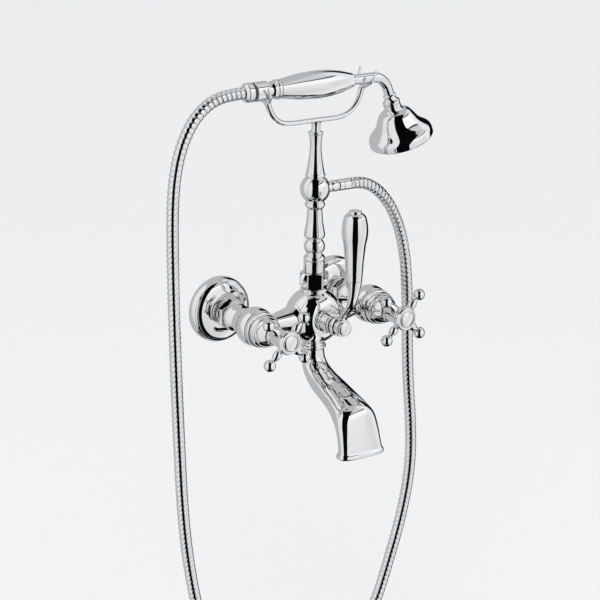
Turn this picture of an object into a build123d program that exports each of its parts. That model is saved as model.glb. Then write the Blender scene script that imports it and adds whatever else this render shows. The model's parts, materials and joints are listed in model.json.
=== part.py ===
from build123d import *
import math
import os

# Wall-mounted bath filler with a hand shower, in millimetres.
# X runs along the wall (cold side +X), Y goes into the wall, Z is up.
# The origin is on the wall face, midway between the two wall spigots.
# "reach" is a distance out of the wall, and "rise" a height above the valve axes.

os.makedirs("parts", exist_ok=True)

# Main places
inlet_spacing = 150.0
union_offset = 8.0
body_reach = 75.4
valve_x = inlet_spacing / 2
valve_z = union_offset
sides = {"hot": -1, "cold": 1}

# Fits
running_gap = 0.05
thread_gap = 0.08
free_gap = 0.3

# Wall unions: G1/2 spigot into the wall, G3/4 end towards the mixer
spigot_r = 10.48
spigot_length = 14.0
supply_bore_r = 6.0
offset_plate_r = 17.0
offset_plate_depth = 3.4
male_r = 13.22
male_reach = 24.0

# Escutcheons
rose_r = 36.5
rose_edge = 2.0
rose_lean = 1.9
rose_rim_reach = 10.0
rose_step = 0.6
shoulder_run = 6.4
shoulder_rise = 4.2
crown_r = 19.0
crown_rise = 2.0
rose_wall = 1.5

# Union nuts
nut_reach = 18.0
nut_ring_r = 14.5
nut_ring_depth = 6.0
nut_hex_depth = 9.7
nut_flats = 30.0
nut_crown_r = 15.5
nut_lip_depth = 3.3
gasket_depth = 2.0
clip_depth = 1.4
clip_r = 12.0
clip_groove_r = 9.0

# Inlet tails
tail_r = 10.0
tail_bulge_r = 15.8
tail_waist_r = 12.0
tail_thread_r = 9.0
tail_thread_length = 8.0

# Mixer body
middle_ball_r = 31.0
valve_ball_r = 21.0
valve_neck_r = 13.4
valve_neck_length = 24.8
valve_face = 8.6
arm_r = 7.4
arm_start = 15.0
arm_flare_r = 14.2
arm_flare_x = 30.0
boss_r = 26.0
boss_depth = 15.6
boss_face = 24.0
boss_face_r = 15.0
seat_rise = 31.2
seat_ring_r = 14.6
seat_ring_height = 5.2
seat_neck_r = 12.0
seat_thread_length = 10.0
foot_drop = 36.4
foot_ring_r = 14.0
foot_ring_height = 4.2
passage_r = 4.5

# Valve headworks and their bonnets, from the front face of the valve ball
chamber_r = 10.5
chamber_depth = 18.0
chamber_length = 14.0
shell_r = 8.95
shell_length = 31.8
shell_neck_r = 7.0
shell_neck_length = 20.0
spindle_r = 4.0
spindle_length = 56.3
disc_r = 7.4
disc_depth = 3.0
disc_port_r = 2.4
window_r = 2.2
spindle_flange_r = 6.0
tongue_width = 2.4
bonnet_r = 19.5
bonnet_flange = 8.0
bonnet_length = 27.0
bonnet_crown_r = 10.5

# Cross handles
handle_lap = 6.2
handle_length = 32.2
handle_collar_r = 10.3
handle_neck_r = 9.6
handle_boss_r = 11.0
handle_face_r = 12.9
handle_skirt = 7.2
arm_plane = 24.0
arm_count = 4
arm_start_angle = 47.0
arm_ball_r = 6.4
arm_ball_place = 30.8
arm_root_r = 3.0
arm_vase_r = 4.5
arm_tip_r = 2.2
arm_pin_r = 2.5
arm_pin_start = 7.4
handle_recess_r = 8.5
handle_recess_depth = 4.6
screw_head_r = 3.6
screw_head_depth = 2.8
screw_shank_r = 2.0
screw_shank_length = 12.0
socket_key_r = 1.5
socket_key_depth = 1.6
cap_r = 8.4
cap_depth = 4.0
cap_dome = 5.4

# Diverter
diverter_chamber_r = 12.0
diverter_chamber_back = 15.4
diverter_chamber_length = 16.3
diverter_shell_r = 10.4
diverter_cavity_r = 8.2
diverter_neck_length = 16.0
outlet_port_offset = 6.0
outlet_port_r = 4.0
rotor_bore_r = 4.6
diverter_bonnet_r = 13.3
diverter_bonnet_length = 18.5
diverter_ring_r = 11.0
lever_hub_length = 7.4
lever_eye_r = 9.8
lever_eye_depth = 4.5
lever_cap_r = 7.8
lever_cap_edge = 1.2
lever_cap_dome = 3.8
lever_screw_length = 9.0
diverter_tongue_depth = 1.2
lever_travel = 45.0

# Column
column_nut_height = 17.5
column_nut_flats = 27.0
column_nut_lip = 3.0
column_flange_height = 2.5
column_neck_r = 8.0
column_bore_r = 5.0
tee_ball_r = 16.16
tee_ball_flat = 12.6
tee_stub_r = 7.0
tee_stub_length = 7.0
upper_stub_r = 6.0
cradle_stem_r = 4.9
cradle_socket_depth = 21.5
grub_r = 1.5
grub_length = 2.6
grub_depth = 6.0
outlet_knob_r = 6.4
outlet_knob_start = 16.0
outlet_knob_end = 28.6
outlet_tail_length = 6.0
hose_thread_r = 4.6
hose_thread_length = 8.0
ferrule_r = 6.2
ferrule_end = 43.5

# Cradle
cradle_rod_r = 3.0
cradle_rod_gap = 12.0
cradle_height = 37.6
cradle_web = 9.0
fork_lean = 20.0
fork_depth = 3.0
fork_inner_r = 12.8
fork_base = 5.4
fork_tip = 1.7
fork_prong = 5.6

# Handset
shaft_r = 5.5
grip_start = -47.7
grip_end = 44.2
grip_bore_r = 4.6
tail_tube_r = 4.5
water_bore_r = 3.0
inlet_thread_r = 8.33
inlet_start = -73.0
inlet_shoulder = -61.5
hose_nut_r = 10.2
hose_nut_start = -75.5
hose_nut_end = -62.0
cone_start = -90.0
cone_end = -81.0
neck_bend_x = 72.3
neck_bend_r = 21.5
neck_bend_turn = 70.0
neck_collar_r = 9.4
neck_reach = 17.0
neck_spigot_r = 6.5
bell_r = 35.2
bell_depth = 44.0
bell_wall = 1.5
plate_depth = 2.2
plate_set_back = 1.6

# Hose
hose_r = 6.5
hose_root_r = 5.7
hose_bore_r = 4.0
rib_count = 180

# Spout
spout_wall = 2.4
nipple_r = 8.2
nipple_wall = 2.2
nipple_socket = 11.0
nipple_hold = 9.0


def turning_plane(x):
    """Plane through a line out of the wall: local x is the radius, local y the reach."""
    return Plane(origin=(x, 0, valve_z), x_dir=(0, 0, 1), z_dir=(1, 0, 0))


def wall_axis(x):
    """The line out of the wall at the valve height."""
    return Axis((x, 0, valve_z), (0, -1, 0))


def facing_plane(x, reach):
    """Plane facing away from the wall at a reach, with +X to its local right."""
    return Plane(origin=(x, -reach, valve_z), x_dir=(1, 0, 0), z_dir=(0, -1, 0))


def upright_plane(rise=0.0, reach=body_reach):
    """Upright plane along the wall: local x is the radius or X, local y the height above rise."""
    return Plane(origin=(0, -reach, valve_z + rise), x_dir=(1, 0, 0), z_dir=(0, -1, 0))


def level_plane(rise, reach=body_reach):
    """Level plane facing up."""
    return Plane(origin=(0, -reach, valve_z + rise))


def draw(start, *steps):
    """Outline from a start: a point is reached straight, a pair of points is an arc through the first."""
    here = start
    for step in steps:
        if isinstance(step[0], tuple):
            ThreePointArc(here, step[0], step[1])
            here = step[1]
        else:
            Line(here, step)
            here = step
    if here != start:
        Line(here, start)


def dome_middle(rim_r, rim, height):
    """Middle of the arc from the rim to the top of a round dome (a hollow has a negative height)."""
    ball = (rim_r**2 + height**2) / (2 * height)
    half = math.asin(rim_r / ball) / 2
    return (ball * math.sin(half), rim + height - ball + ball * math.cos(half))


def ring(inner, outer, low, high):
    """Plain ring outline from two radii and two stations."""
    draw((inner, low), (outer, low), (outer, high), (inner, high))


def fillet_radii(points):
    """Largest arcs that two neighbouring runs allow at each corner."""
    radii = []
    for before, corner, after in zip(points, points[1:], points[2:]):
        run_in = Vector(corner) - Vector(before)
        run_out = Vector(after) - Vector(corner)
        half_turn = math.radians(run_in.get_angle(run_out) / 2)
        radii.append(0.45 * min(run_in.length, run_out.length) / math.tan(half_turn))
    return radii


def finish(piece, name):
    """Name a piece and write it."""
    piece.part.label = name
    export_step(piece.part, f"parts/{name}.step")


column_axis = Axis((0, -body_reach, valve_z), (0, 0, 1))
cross_axis = Axis((0, -body_reach, valve_z), (1, 0, 0))
nut_front = nut_reach + nut_ring_depth + nut_hex_depth
nut_shoulder = nut_front - nut_lip_depth
tail_face = male_reach + gasket_depth
valve_neck_face = body_reach - valve_neck_length
valve_front = body_reach + valve_face
boss_front = body_reach + boss_face
shell_start = valve_front - chamber_depth + running_gap

# Wall unions
for side, sign in sides.items():
    x = sign * valve_x
    with BuildPart() as eccentric_union:
        with BuildSketch(Plane(origin=(x, 0, 0), x_dir=(1, 0, 0), z_dir=(0, 1, 0))):
            Circle(spigot_r)
        extrude(amount=spigot_length)
        with BuildSketch(Plane(origin=(x, 0, union_offset / 2), x_dir=(1, 0, 0), z_dir=(0, -1, 0))):
            Circle(offset_plate_r)
        extrude(amount=offset_plate_depth)
        with BuildSketch(facing_plane(x, 0)):
            Circle(male_r)
        extrude(amount=male_reach)
        chamfer(eccentric_union.faces().sort_by(Axis.Y).first.edges(), 0.8)
        chamfer(eccentric_union.faces().sort_by(Axis.Y).last.edges(), 1.0)
        with BuildSketch(Plane(origin=(x, spigot_length, 0), x_dir=(1, 0, 0), z_dir=(0, -1, 0))):
            Circle(supply_bore_r)
        extrude(amount=spigot_length + offset_plate_depth, mode=Mode.SUBTRACT)
        with BuildSketch(facing_plane(x, 0)):
            Circle(supply_bore_r)
        extrude(amount=male_reach, mode=Mode.SUBTRACT)
    finish(eccentric_union, f"{side}_eccentric_union")

# Escutcheons: thin domed shells around the unions, stepped in above a rounded rim
rose_bore_r = male_r + 2 * running_gap
rose_rim_r = rose_r - rose_lean
shoulder_r = rose_rim_r - shoulder_run
shoulder_reach = rose_rim_reach + shoulder_rise
crown_reach = shoulder_reach + crown_rise
for side, sign in sides.items():
    x = sign * valve_x
    with BuildPart() as escutcheon:
        with BuildSketch(turning_plane(x)):
            with BuildLine():
                draw(
                    (rose_r, 0),
                    (rose_r, rose_edge),
                    ((rose_r - 0.2 * rose_lean, 0.62 * rose_rim_reach), (rose_rim_r, rose_rim_reach)),
                    (rose_rim_r - rose_step, rose_rim_reach + 0.1),
                    ((shoulder_r + 3.4, shoulder_reach - 1.7), (shoulder_r, shoulder_reach)),
                    ((0.5 * (shoulder_r + crown_r), crown_reach - 0.7), (crown_r, crown_reach - 0.2)),
                    (rose_bore_r, crown_reach),
                    (rose_bore_r, crown_reach - rose_wall),
                    (crown_r - 0.4, crown_reach - rose_wall - 0.2),
                    (
                        (0.5 * (shoulder_r + crown_r) - 0.6, crown_reach - rose_wall - 0.7),
                        (shoulder_r - 0.8, shoulder_reach - rose_wall + 0.1),
                    ),
                    (
                        (shoulder_r + 2.6, shoulder_reach - 3.1),
                        (rose_rim_r - rose_wall - 0.2, rose_rim_reach - rose_wall),
                    ),
                    ((rose_rim_r - 0.1, 0.54 * rose_rim_reach), (rose_r - rose_wall, rose_edge)),
                    (rose_r - rose_wall, 0),
                )
            make_face()
        revolve(axis=wall_axis(x))
    finish(escutcheon, f"{side}_escutcheon")

# Union nuts
for side, sign in sides.items():
    x = sign * valve_x
    hex_start = nut_reach + nut_ring_depth
    with BuildPart() as union_nut:
        with BuildSketch(facing_plane(x, hex_start)):
            RegularPolygon(nut_flats / 2, 6, major_radius=False)
        extrude(amount=nut_hex_depth)
        with BuildSketch(turning_plane(x)):
            with BuildLine():
                draw(
                    (0, hex_start),
                    (nut_ring_r, hex_start),
                    (nut_flats / math.sqrt(3), hex_start + 1.6),
                    (nut_flats / math.sqrt(3), nut_front - 1.2),
                    (nut_crown_r, nut_front),
                    (0, nut_front),
                )
            make_face()
        revolve(axis=wall_axis(x), mode=Mode.INTERSECT)
        with BuildSketch(turning_plane(x)):
            with BuildLine():
                draw(
                    (0, nut_reach),
                    (nut_ring_r - 0.7, nut_reach),
                    ((nut_ring_r, nut_reach + nut_ring_depth / 2), (nut_ring_r - 0.4, hex_start)),
                    (0, hex_start),
                )
            make_face()
        revolve(axis=wall_axis(x))
        with BuildSketch(turning_plane(x)):
            with BuildLine():
                draw(
                    (0, nut_reach),
                    (male_r + thread_gap, nut_reach),
                    (male_r + thread_gap, nut_shoulder),
                    (tail_r + thread_gap, nut_shoulder),
                    (tail_r + thread_gap, nut_front),
                    (0, nut_front),
                )
            make_face()
        revolve(axis=wall_axis(x), mode=Mode.SUBTRACT)
    finish(union_nut, f"{side}_union_nut")

# Inlet tails: pulled onto the unions by the nuts, screwed into the body
clip_start = nut_shoulder - free_gap - clip_depth
tail_run = valve_neck_face - nut_front
for side, sign in sides.items():
    x = sign * valve_x
    with BuildPart() as inlet_tail:
        with BuildSketch(turning_plane(x)):
            with BuildLine():
                draw(
                    (supply_bore_r, tail_face),
                    (tail_r, tail_face),
                    (tail_r, clip_start - running_gap),
                    (clip_groove_r, clip_start - running_gap),
                    (clip_groove_r, clip_start + clip_depth + running_gap),
                    (tail_r, clip_start + clip_depth + running_gap),
                    (tail_r, nut_front + 0.5),
                    (tail_bulge_r - 0.6, nut_front + 0.5),
                    (
                        (tail_bulge_r, nut_front + 0.3 * tail_run),
                        (tail_bulge_r - 1.2, nut_front + 0.6 * tail_run),
                    ),
                    (
                        (tail_waist_r + 1.0, valve_neck_face - 0.12 * tail_run),
                        (tail_waist_r, valve_neck_face),
                    ),
                    (tail_thread_r, valve_neck_face),
                    (tail_thread_r, valve_neck_face + tail_thread_length),
                    (supply_bore_r, valve_neck_face + tail_thread_length),
                )
            make_face()
        revolve(axis=wall_axis(x))
    finish(inlet_tail, f"{side}_inlet_tail")

with BuildPart() as union_gaskets:
    for sign in sides.values():
        with BuildSketch(facing_plane(sign * valve_x, male_reach)):
            Circle(male_r - 0.8)
            Circle(supply_bore_r + 0.4, mode=Mode.SUBTRACT)
        extrude(amount=gasket_depth)
finish(union_gaskets, "union_gaskets")

with BuildPart() as union_clips:
    for sign in sides.values():
        with BuildSketch(facing_plane(sign * valve_x, clip_start)):
            Circle(clip_r)
            Circle(clip_groove_r + running_gap, mode=Mode.SUBTRACT)
            with Locations((0, -clip_r)):
                Rectangle(2.4, clip_r, mode=Mode.SUBTRACT)
        extrude(amount=clip_depth)
finish(union_clips, "union_clips")

# Mixer body: middle ball, side arms, valve balls, column seat and spout foot
chamber_back = body_reach - diverter_chamber_back
seat_top = seat_rise + seat_thread_length
with BuildPart() as mixer_body:
    with BuildSketch(turning_plane(0)):
        with BuildLine():
            boss_start = body_reach + boss_depth - 0.8
            boss_meet_r = math.sqrt(middle_ball_r**2 - (boss_depth - 0.8) ** 2)
            draw(
                (0, body_reach - middle_ball_r),
                ((middle_ball_r, body_reach), (boss_meet_r, boss_start)),
                (boss_r, body_reach + boss_depth),
                ((boss_r - 4.0, body_reach + boss_depth + 4.6), (boss_face_r, boss_front)),
                (0, boss_front),
            )
        make_face()
    revolve(axis=wall_axis(0))
    for sign in sides.values():
        with BuildSketch(turning_plane(sign * valve_x)):
            with BuildLine():
                draw(
                    (0, valve_neck_face),
                    (valve_neck_r, valve_neck_face),
                    (valve_neck_r, body_reach - math.sqrt(valve_ball_r**2 - valve_neck_r**2)),
                    (
                        (valve_ball_r, body_reach),
                        (math.sqrt(valve_ball_r**2 - valve_face**2), valve_front),
                    ),
                    (0, valve_front),
                )
            make_face()
        revolve(axis=wall_axis(sign * valve_x))
    with BuildSketch(upright_plane()):
        with BuildLine():
            draw(
                (arm_start - valve_x, 0),
                (arm_start - valve_x, arm_r),
                (-arm_flare_x, arm_flare_r),
                (arm_flare_x, arm_flare_r),
                (valve_x - arm_start, arm_r),
                (valve_x - arm_start, 0),
            )
        make_face()
    revolve(axis=cross_axis)
    with BuildSketch(upright_plane()):
        with BuildLine():
            ring_low = seat_rise - seat_ring_height
            draw(
                (0, 0),
                (seat_neck_r, 0),
                (seat_neck_r, ring_low),
                ((seat_ring_r, seat_rise - seat_ring_height / 2), (seat_neck_r, seat_rise)),
                (spigot_r, seat_rise),
                (spigot_r, seat_top),
                (0, seat_top),
            )
        make_face()
    revolve(axis=column_axis)
    with BuildSketch(upright_plane()):
        with BuildLine():
            ring_top = foot_ring_height - foot_drop
            draw(
                (0, 0),
                (seat_neck_r, 0),
                (seat_neck_r, ring_top),
                ((foot_ring_r, -foot_drop + foot_ring_height / 2), (seat_neck_r, -foot_drop)),
                (0, -foot_drop),
            )
        make_face()
    revolve(axis=column_axis)
    # Valve chambers, supply bores and the thread for each tail
    for sign in sides.values():
        with BuildSketch(turning_plane(sign * valve_x)):
            with BuildLine():
                draw(
                    (0, valve_neck_face),
                    (tail_thread_r + thread_gap, valve_neck_face),
                    (tail_thread_r + thread_gap, valve_neck_face + tail_thread_length + free_gap),
                    (supply_bore_r, valve_neck_face + tail_thread_length + free_gap),
                    (supply_bore_r, valve_front - chamber_depth),
                    (chamber_r, valve_front - chamber_depth),
                    (chamber_r, valve_front - chamber_depth + chamber_length),
                    (shell_r + running_gap, valve_front - chamber_depth + chamber_length),
                    (shell_r + running_gap, valve_front),
                    (0, valve_front),
                )
            make_face()
        revolve(axis=wall_axis(sign * valve_x), mode=Mode.SUBTRACT)
    # Cross passage from the valve chambers to the diverter chamber
    with BuildSketch(Plane(origin=(-valve_x, -body_reach + passage_r, valve_z), z_dir=(1, 0, 0))):
        Circle(passage_r)
    extrude(amount=2 * valve_x, mode=Mode.SUBTRACT)
    with BuildSketch(turning_plane(0)):
        with BuildLine():
            draw(
                (0, chamber_back),
                (diverter_chamber_r, chamber_back),
                (diverter_chamber_r, chamber_back + diverter_chamber_length),
                (diverter_shell_r + running_gap, chamber_back + diverter_chamber_length),
                (diverter_shell_r + running_gap, boss_front),
                (0, boss_front),
            )
        make_face()
    revolve(axis=wall_axis(0), mode=Mode.SUBTRACT)
    # Ways up to the column and down to the spout
    with BuildSketch(level_plane(-foot_drop, body_reach + outlet_port_offset)):
        Circle(passage_r)
    extrude(amount=foot_drop + seat_rise - seat_ring_height, mode=Mode.SUBTRACT)
    with BuildSketch(level_plane(seat_top)):
        Circle(spigot_r - 2.4)
    extrude(amount=-(seat_thread_length + seat_ring_height + 3.0), mode=Mode.SUBTRACT)
    with BuildSketch(level_plane(-foot_drop)):
        Circle(nipple_r + thread_gap)
    extrude(amount=nipple_socket, mode=Mode.SUBTRACT)
finish(mixer_body, "mixer_body")

# Headwork shells of the two valves
shell_end = shell_start + shell_length
neck_end = shell_end + shell_neck_length
cavity_r = disc_r + 2 * running_gap
cavity_end = shell_start + 2 * disc_depth + 4.0
with BuildPart() as headworks:
    for sign in sides.values():
        x = sign * valve_x
        with BuildSketch(turning_plane(x)):
            with BuildLine():
                draw(
                    (cavity_r, shell_start),
                    (shell_r, shell_start),
                    (shell_r, shell_end),
                    (shell_neck_r, shell_end),
                    (shell_neck_r, neck_end),
                    (spindle_r + running_gap, neck_end),
                    (spindle_r + running_gap, cavity_end),
                    (cavity_r, cavity_end),
                )
            make_face()
        revolve(axis=wall_axis(x))
        window_reach = shell_start + disc_depth + 3.6
        with BuildSketch(Plane(origin=(x - shell_r - 1, -window_reach, valve_z), z_dir=(1, 0, 0))):
            Circle(window_r)
        extrude(amount=2 * shell_r + 2, mode=Mode.SUBTRACT)
        with BuildSketch(Plane(origin=(x, -window_reach, valve_z - shell_r - 1))):
            Circle(window_r)
        extrude(amount=2 * shell_r + 2, mode=Mode.SUBTRACT)
finish(headworks, "headworks")

# Ceramic discs: the fixed ones share a node, each moving one turns with its spindle
with BuildPart() as fixed_discs:
    for sign in sides.values():
        with BuildSketch(facing_plane(sign * valve_x, shell_start + running_gap)):
            Circle(disc_r)
            with PolarLocations(disc_r / 2, 2):
                Circle(disc_port_r, mode=Mode.SUBTRACT)
        extrude(amount=disc_depth)
finish(fixed_discs, "fixed_discs")

moving_start = shell_start + running_gap + disc_depth
for side, sign in sides.items():
    with BuildPart() as moving_disc:
        with BuildSketch(facing_plane(sign * valve_x, moving_start)):
            Circle(disc_r - running_gap)
            with PolarLocations(disc_r / 2 + 0.6, 2, start_angle=90):
                Circle(disc_port_r, mode=Mode.SUBTRACT)
        extrude(amount=disc_depth)
        with BuildSketch(facing_plane(sign * valve_x, moving_start + disc_depth)):
            Rectangle(tongue_width + 2 * running_gap, 2 * disc_r)
        extrude(amount=-disc_depth / 2, mode=Mode.SUBTRACT)
    finish(moving_disc, f"{side}_moving_disc")

# Spindles with a drive tongue, a retaining flange and a tapped end
flange_start = moving_start + disc_depth
spindle_end = flange_start + spindle_length
handle_start = neck_end - handle_lap
hub_seat = handle_start + handle_skirt
handle_arm_reach = handle_start + arm_plane
cap_floor = handle_start + handle_length - handle_recess_depth
screw_seat = handle_arm_reach - 0.8
for side, sign in sides.items():
    x = sign * valve_x
    with BuildPart() as spindle:
        with BuildSketch(facing_plane(x, flange_start)):
            Circle(spindle_flange_r)
        extrude(amount=disc_depth)
        with BuildSketch(facing_plane(x, flange_start)):
            Circle(spindle_r)
        extrude(amount=spindle_length)
        with BuildSketch(facing_plane(x, flange_start)):
            Rectangle(tongue_width, 2 * spindle_flange_r - 1.0)
        extrude(amount=-(disc_depth / 2 - running_gap))
        with BuildSketch(facing_plane(x, spindle_end)):
            Circle(screw_shank_r + running_gap)
        extrude(amount=-(screw_shank_length - 2.0), mode=Mode.SUBTRACT)
    finish(spindle, f"{side}_spindle")

# Valve bonnets
bonnet_end = valve_front + bonnet_length
for side, sign in sides.items():
    x = sign * valve_x
    with BuildPart() as bonnet:
        with BuildSketch(turning_plane(x)):
            with BuildLine():
                flange_end = valve_front + bonnet_flange
                draw(
                    (shell_r + 0.15, valve_front),
                    (bonnet_r - 0.6, valve_front),
                    ((bonnet_r, valve_front + bonnet_flange / 2), (bonnet_r - 0.7, flange_end - 0.6)),
                    (bonnet_r - 2.2, flange_end),
                    (bonnet_r - 1.5, flange_end + 1.2),
                    ((bonnet_r - 3.0, flange_end + 10.0), (bonnet_crown_r, bonnet_end)),
                    (shell_neck_r + 0.15, bonnet_end),
                    (shell_neck_r + 0.15, shell_end + free_gap),
                    (shell_r + 0.15, shell_end + free_gap),
                )
            make_face()
        revolve(axis=wall_axis(x))
    finish(bonnet, f"{side}_bonnet")

# Handle hubs, arms, screws and index caps
for side, sign in sides.items():
    x = sign * valve_x
    hub_front = handle_start + handle_length
    with BuildPart() as handle_hub:
        with BuildSketch(turning_plane(x)):
            with BuildLine():
                draw(
                    (shell_neck_r + 0.8, handle_start),
                    (handle_collar_r - 0.5, handle_start),
                    ((handle_collar_r, handle_start + 2.5), (handle_neck_r, handle_start + 5.2)),
                    ((handle_neck_r - 0.4, handle_start + 10.0), (handle_neck_r, handle_start + 16.0)),
                    ((handle_boss_r, handle_arm_reach), (handle_boss_r - 1.0, handle_arm_reach + 4.0)),
                    (handle_face_r - 0.4, handle_arm_reach + 4.8),
                    ((handle_face_r, hub_front - 1.6), (handle_face_r - 1.4, hub_front)),
                    (handle_recess_r, hub_front),
                    (handle_recess_r, cap_floor),
                    (screw_head_r + 0.4, cap_floor),
                    (screw_head_r + 0.4, screw_seat),
                    (screw_shank_r + 0.1, screw_seat),
                    (screw_shank_r + 0.1, spindle_end + free_gap),
                    (spindle_r + running_gap, spindle_end + free_gap),
                    (spindle_r + running_gap, hub_seat),
                    (shell_neck_r + 0.8, hub_seat),
                )
            make_face()
        revolve(axis=wall_axis(x))
        for step in range(arm_count):
            angle = math.radians(arm_start_angle + 360 * step / arm_count)
            out = Vector(math.cos(angle), 0, math.sin(angle))
            centre = Vector(x, -handle_arm_reach, valve_z)
            with BuildSketch(Plane(origin=centre + out * arm_pin_start, x_dir=(0, -1, 0), z_dir=out)):
                Circle(arm_pin_r + running_gap)
            extrude(amount=handle_boss_r, mode=Mode.SUBTRACT)
    finish(handle_hub, f"{side}_handle_hub")

for side, sign in sides.items():
    centre = Vector(sign * valve_x, -handle_arm_reach, valve_z)
    with BuildPart() as handle_arms:
        for step in range(arm_count):
            angle = math.radians(arm_start_angle + 360 * step / arm_count)
            out = Vector(math.cos(angle), 0, math.sin(angle))
            side_way = out.cross(Vector(0, -1, 0))
            with BuildSketch(Plane(origin=centre, x_dir=side_way, z_dir=side_way.cross(out))):
                with BuildLine():
                    ball_low = arm_ball_place - math.sqrt(arm_ball_r**2 - arm_tip_r**2)
                    nib = arm_ball_place + arm_ball_r - 0.4
                    nib_r = math.sqrt(arm_ball_r**2 - (arm_ball_r - 0.4) ** 2)
                    draw(
                        (0, arm_pin_start + free_gap),
                        (arm_pin_r, arm_pin_start + free_gap),
                        (arm_pin_r, handle_boss_r + 0.15),
                        (arm_root_r, handle_boss_r + 0.15),
                        (arm_root_r, handle_boss_r + 1.0),
                        ((arm_vase_r, handle_boss_r + 5.0), (arm_vase_r - 0.7, handle_boss_r + 10.0)),
                        ((arm_tip_r + 0.7, ball_low - 0.9), (arm_tip_r, ball_low)),
                        ((arm_ball_r, arm_ball_place), (nib_r, nib)),
                        (0, nib),
                    )
                make_face()
            revolve(axis=Axis(centre, out))
    finish(handle_arms, f"{side}_handle_arms")

for side, sign in sides.items():
    x = sign * valve_x
    with BuildPart() as handle_screw:
        with BuildSketch(facing_plane(x, screw_seat)):
            Circle(screw_head_r)
        extrude(amount=screw_head_depth)
        with BuildSketch(facing_plane(x, screw_seat)):
            Circle(screw_shank_r)
        extrude(amount=-screw_shank_length)
        with BuildSketch(facing_plane(x, screw_seat + screw_head_depth)):
            RegularPolygon(socket_key_r, 6)
        extrude(amount=-socket_key_depth, mode=Mode.SUBTRACT)
    finish(handle_screw, f"{side}_handle_screw")
    with BuildPart() as index_cap:
        with BuildSketch(turning_plane(x)):
            with BuildLine():
                cap_base = cap_floor + 0.1
                cap_edge = cap_base + cap_depth
                draw(
                    (0, cap_base),
                    (cap_r, cap_base),
                    (cap_r, cap_edge),
                    (dome_middle(cap_r, cap_edge, cap_dome), (0, cap_edge + cap_dome)),
                )
            make_face()
        revolve(axis=wall_axis(x))
    finish(index_cap, f"{side}_index_cap")

# Diverter headwork: a ported barrel turns inside a ported shell
diverter_shell_start = chamber_back + running_gap
diverter_shell_end = boss_front + 0.5
diverter_neck_end = diverter_shell_end + diverter_neck_length
rotor_start = diverter_shell_start + 0.2
outlet_reach = body_reach + outlet_port_offset
rotor_end = outlet_reach + outlet_port_r + 1.4
with BuildPart() as diverter_headwork:
    with BuildSketch(turning_plane(0)):
        with BuildLine():
            draw(
                (diverter_cavity_r, diverter_shell_start),
                (diverter_shell_r, diverter_shell_start),
                (diverter_shell_r, diverter_shell_end),
                (shell_neck_r, diverter_shell_end),
                (shell_neck_r, diverter_neck_end),
                (spindle_r + running_gap, diverter_neck_end),
                (spindle_r + running_gap, rotor_end + running_gap),
                (diverter_cavity_r, rotor_end + running_gap),
            )
        make_face()
    revolve(axis=wall_axis(0))
    side_port = Plane(origin=(-diverter_shell_r - 1, -body_reach + passage_r, valve_z), z_dir=(1, 0, 0))
    with BuildSketch(side_port):
        Circle(passage_r - 0.5)
    extrude(amount=2 * diverter_shell_r + 2, mode=Mode.SUBTRACT)
    with BuildSketch(level_plane(-diverter_shell_r - 1, outlet_reach)):
        Circle(outlet_port_r)
    extrude(amount=2 * diverter_shell_r + 2, mode=Mode.SUBTRACT)
finish(diverter_headwork, "diverter_headwork")

# The barrel fills from its open back, and two ports meet the outlets at the lever's two ends
with BuildPart() as diverter_rotor:
    with BuildSketch(facing_plane(0, rotor_start)):
        Circle(diverter_cavity_r - running_gap)
    extrude(amount=rotor_end - rotor_start)
    with BuildSketch(facing_plane(0, rotor_start)):
        Circle(rotor_bore_r)
    extrude(amount=outlet_reach + outlet_port_r - 1 - rotor_start, mode=Mode.SUBTRACT)
    with BuildSketch(Plane(origin=(-2 * rotor_bore_r, -body_reach + passage_r, valve_z), z_dir=(1, 0, 0))):
        SlotOverall(2.2 * passage_r, 1.9 * passage_r)
    extrude(amount=4 * rotor_bore_r, mode=Mode.SUBTRACT)
    for port_angle in (90 - lever_travel, 90 - 3 * lever_travel):
        turned = math.radians(port_angle)
        port_way = Vector(math.cos(turned), 0, math.sin(turned))
        with BuildSketch(Plane(origin=(0, -outlet_reach, valve_z), x_dir=(0, -1, 0), z_dir=port_way)):
            Circle(outlet_port_r - 1.0)
        extrude(amount=diverter_cavity_r, mode=Mode.SUBTRACT)
    with BuildSketch(facing_plane(0, rotor_end)):
        Rectangle(tongue_width + 2 * running_gap, 2 * spindle_r + 2 * running_gap)
    extrude(amount=-diverter_tongue_depth, mode=Mode.SUBTRACT)
finish(diverter_rotor, "diverter_rotor")

lever_hub_start = diverter_neck_end + 2.6
eye_start = lever_hub_start + lever_hub_length + 1.4
eye_end = eye_start + lever_eye_depth
lever_screw_seat = eye_start + 1.2
diverter_spindle_end = eye_start - 0.6
with BuildPart() as diverter_spindle:
    with BuildSketch(facing_plane(0, rotor_end + running_gap)):
        Circle(spindle_r)
    extrude(amount=diverter_spindle_end - rotor_end - running_gap)
    with BuildSketch(facing_plane(0, rotor_end + running_gap)):
        Rectangle(tongue_width, 2 * spindle_r - 0.6)
    extrude(amount=-diverter_tongue_depth)
    with BuildSketch(facing_plane(0, diverter_spindle_end)):
        Circle(screw_shank_r + running_gap)
    extrude(amount=-lever_screw_length, mode=Mode.SUBTRACT)
finish(diverter_spindle, "diverter_spindle")

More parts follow.
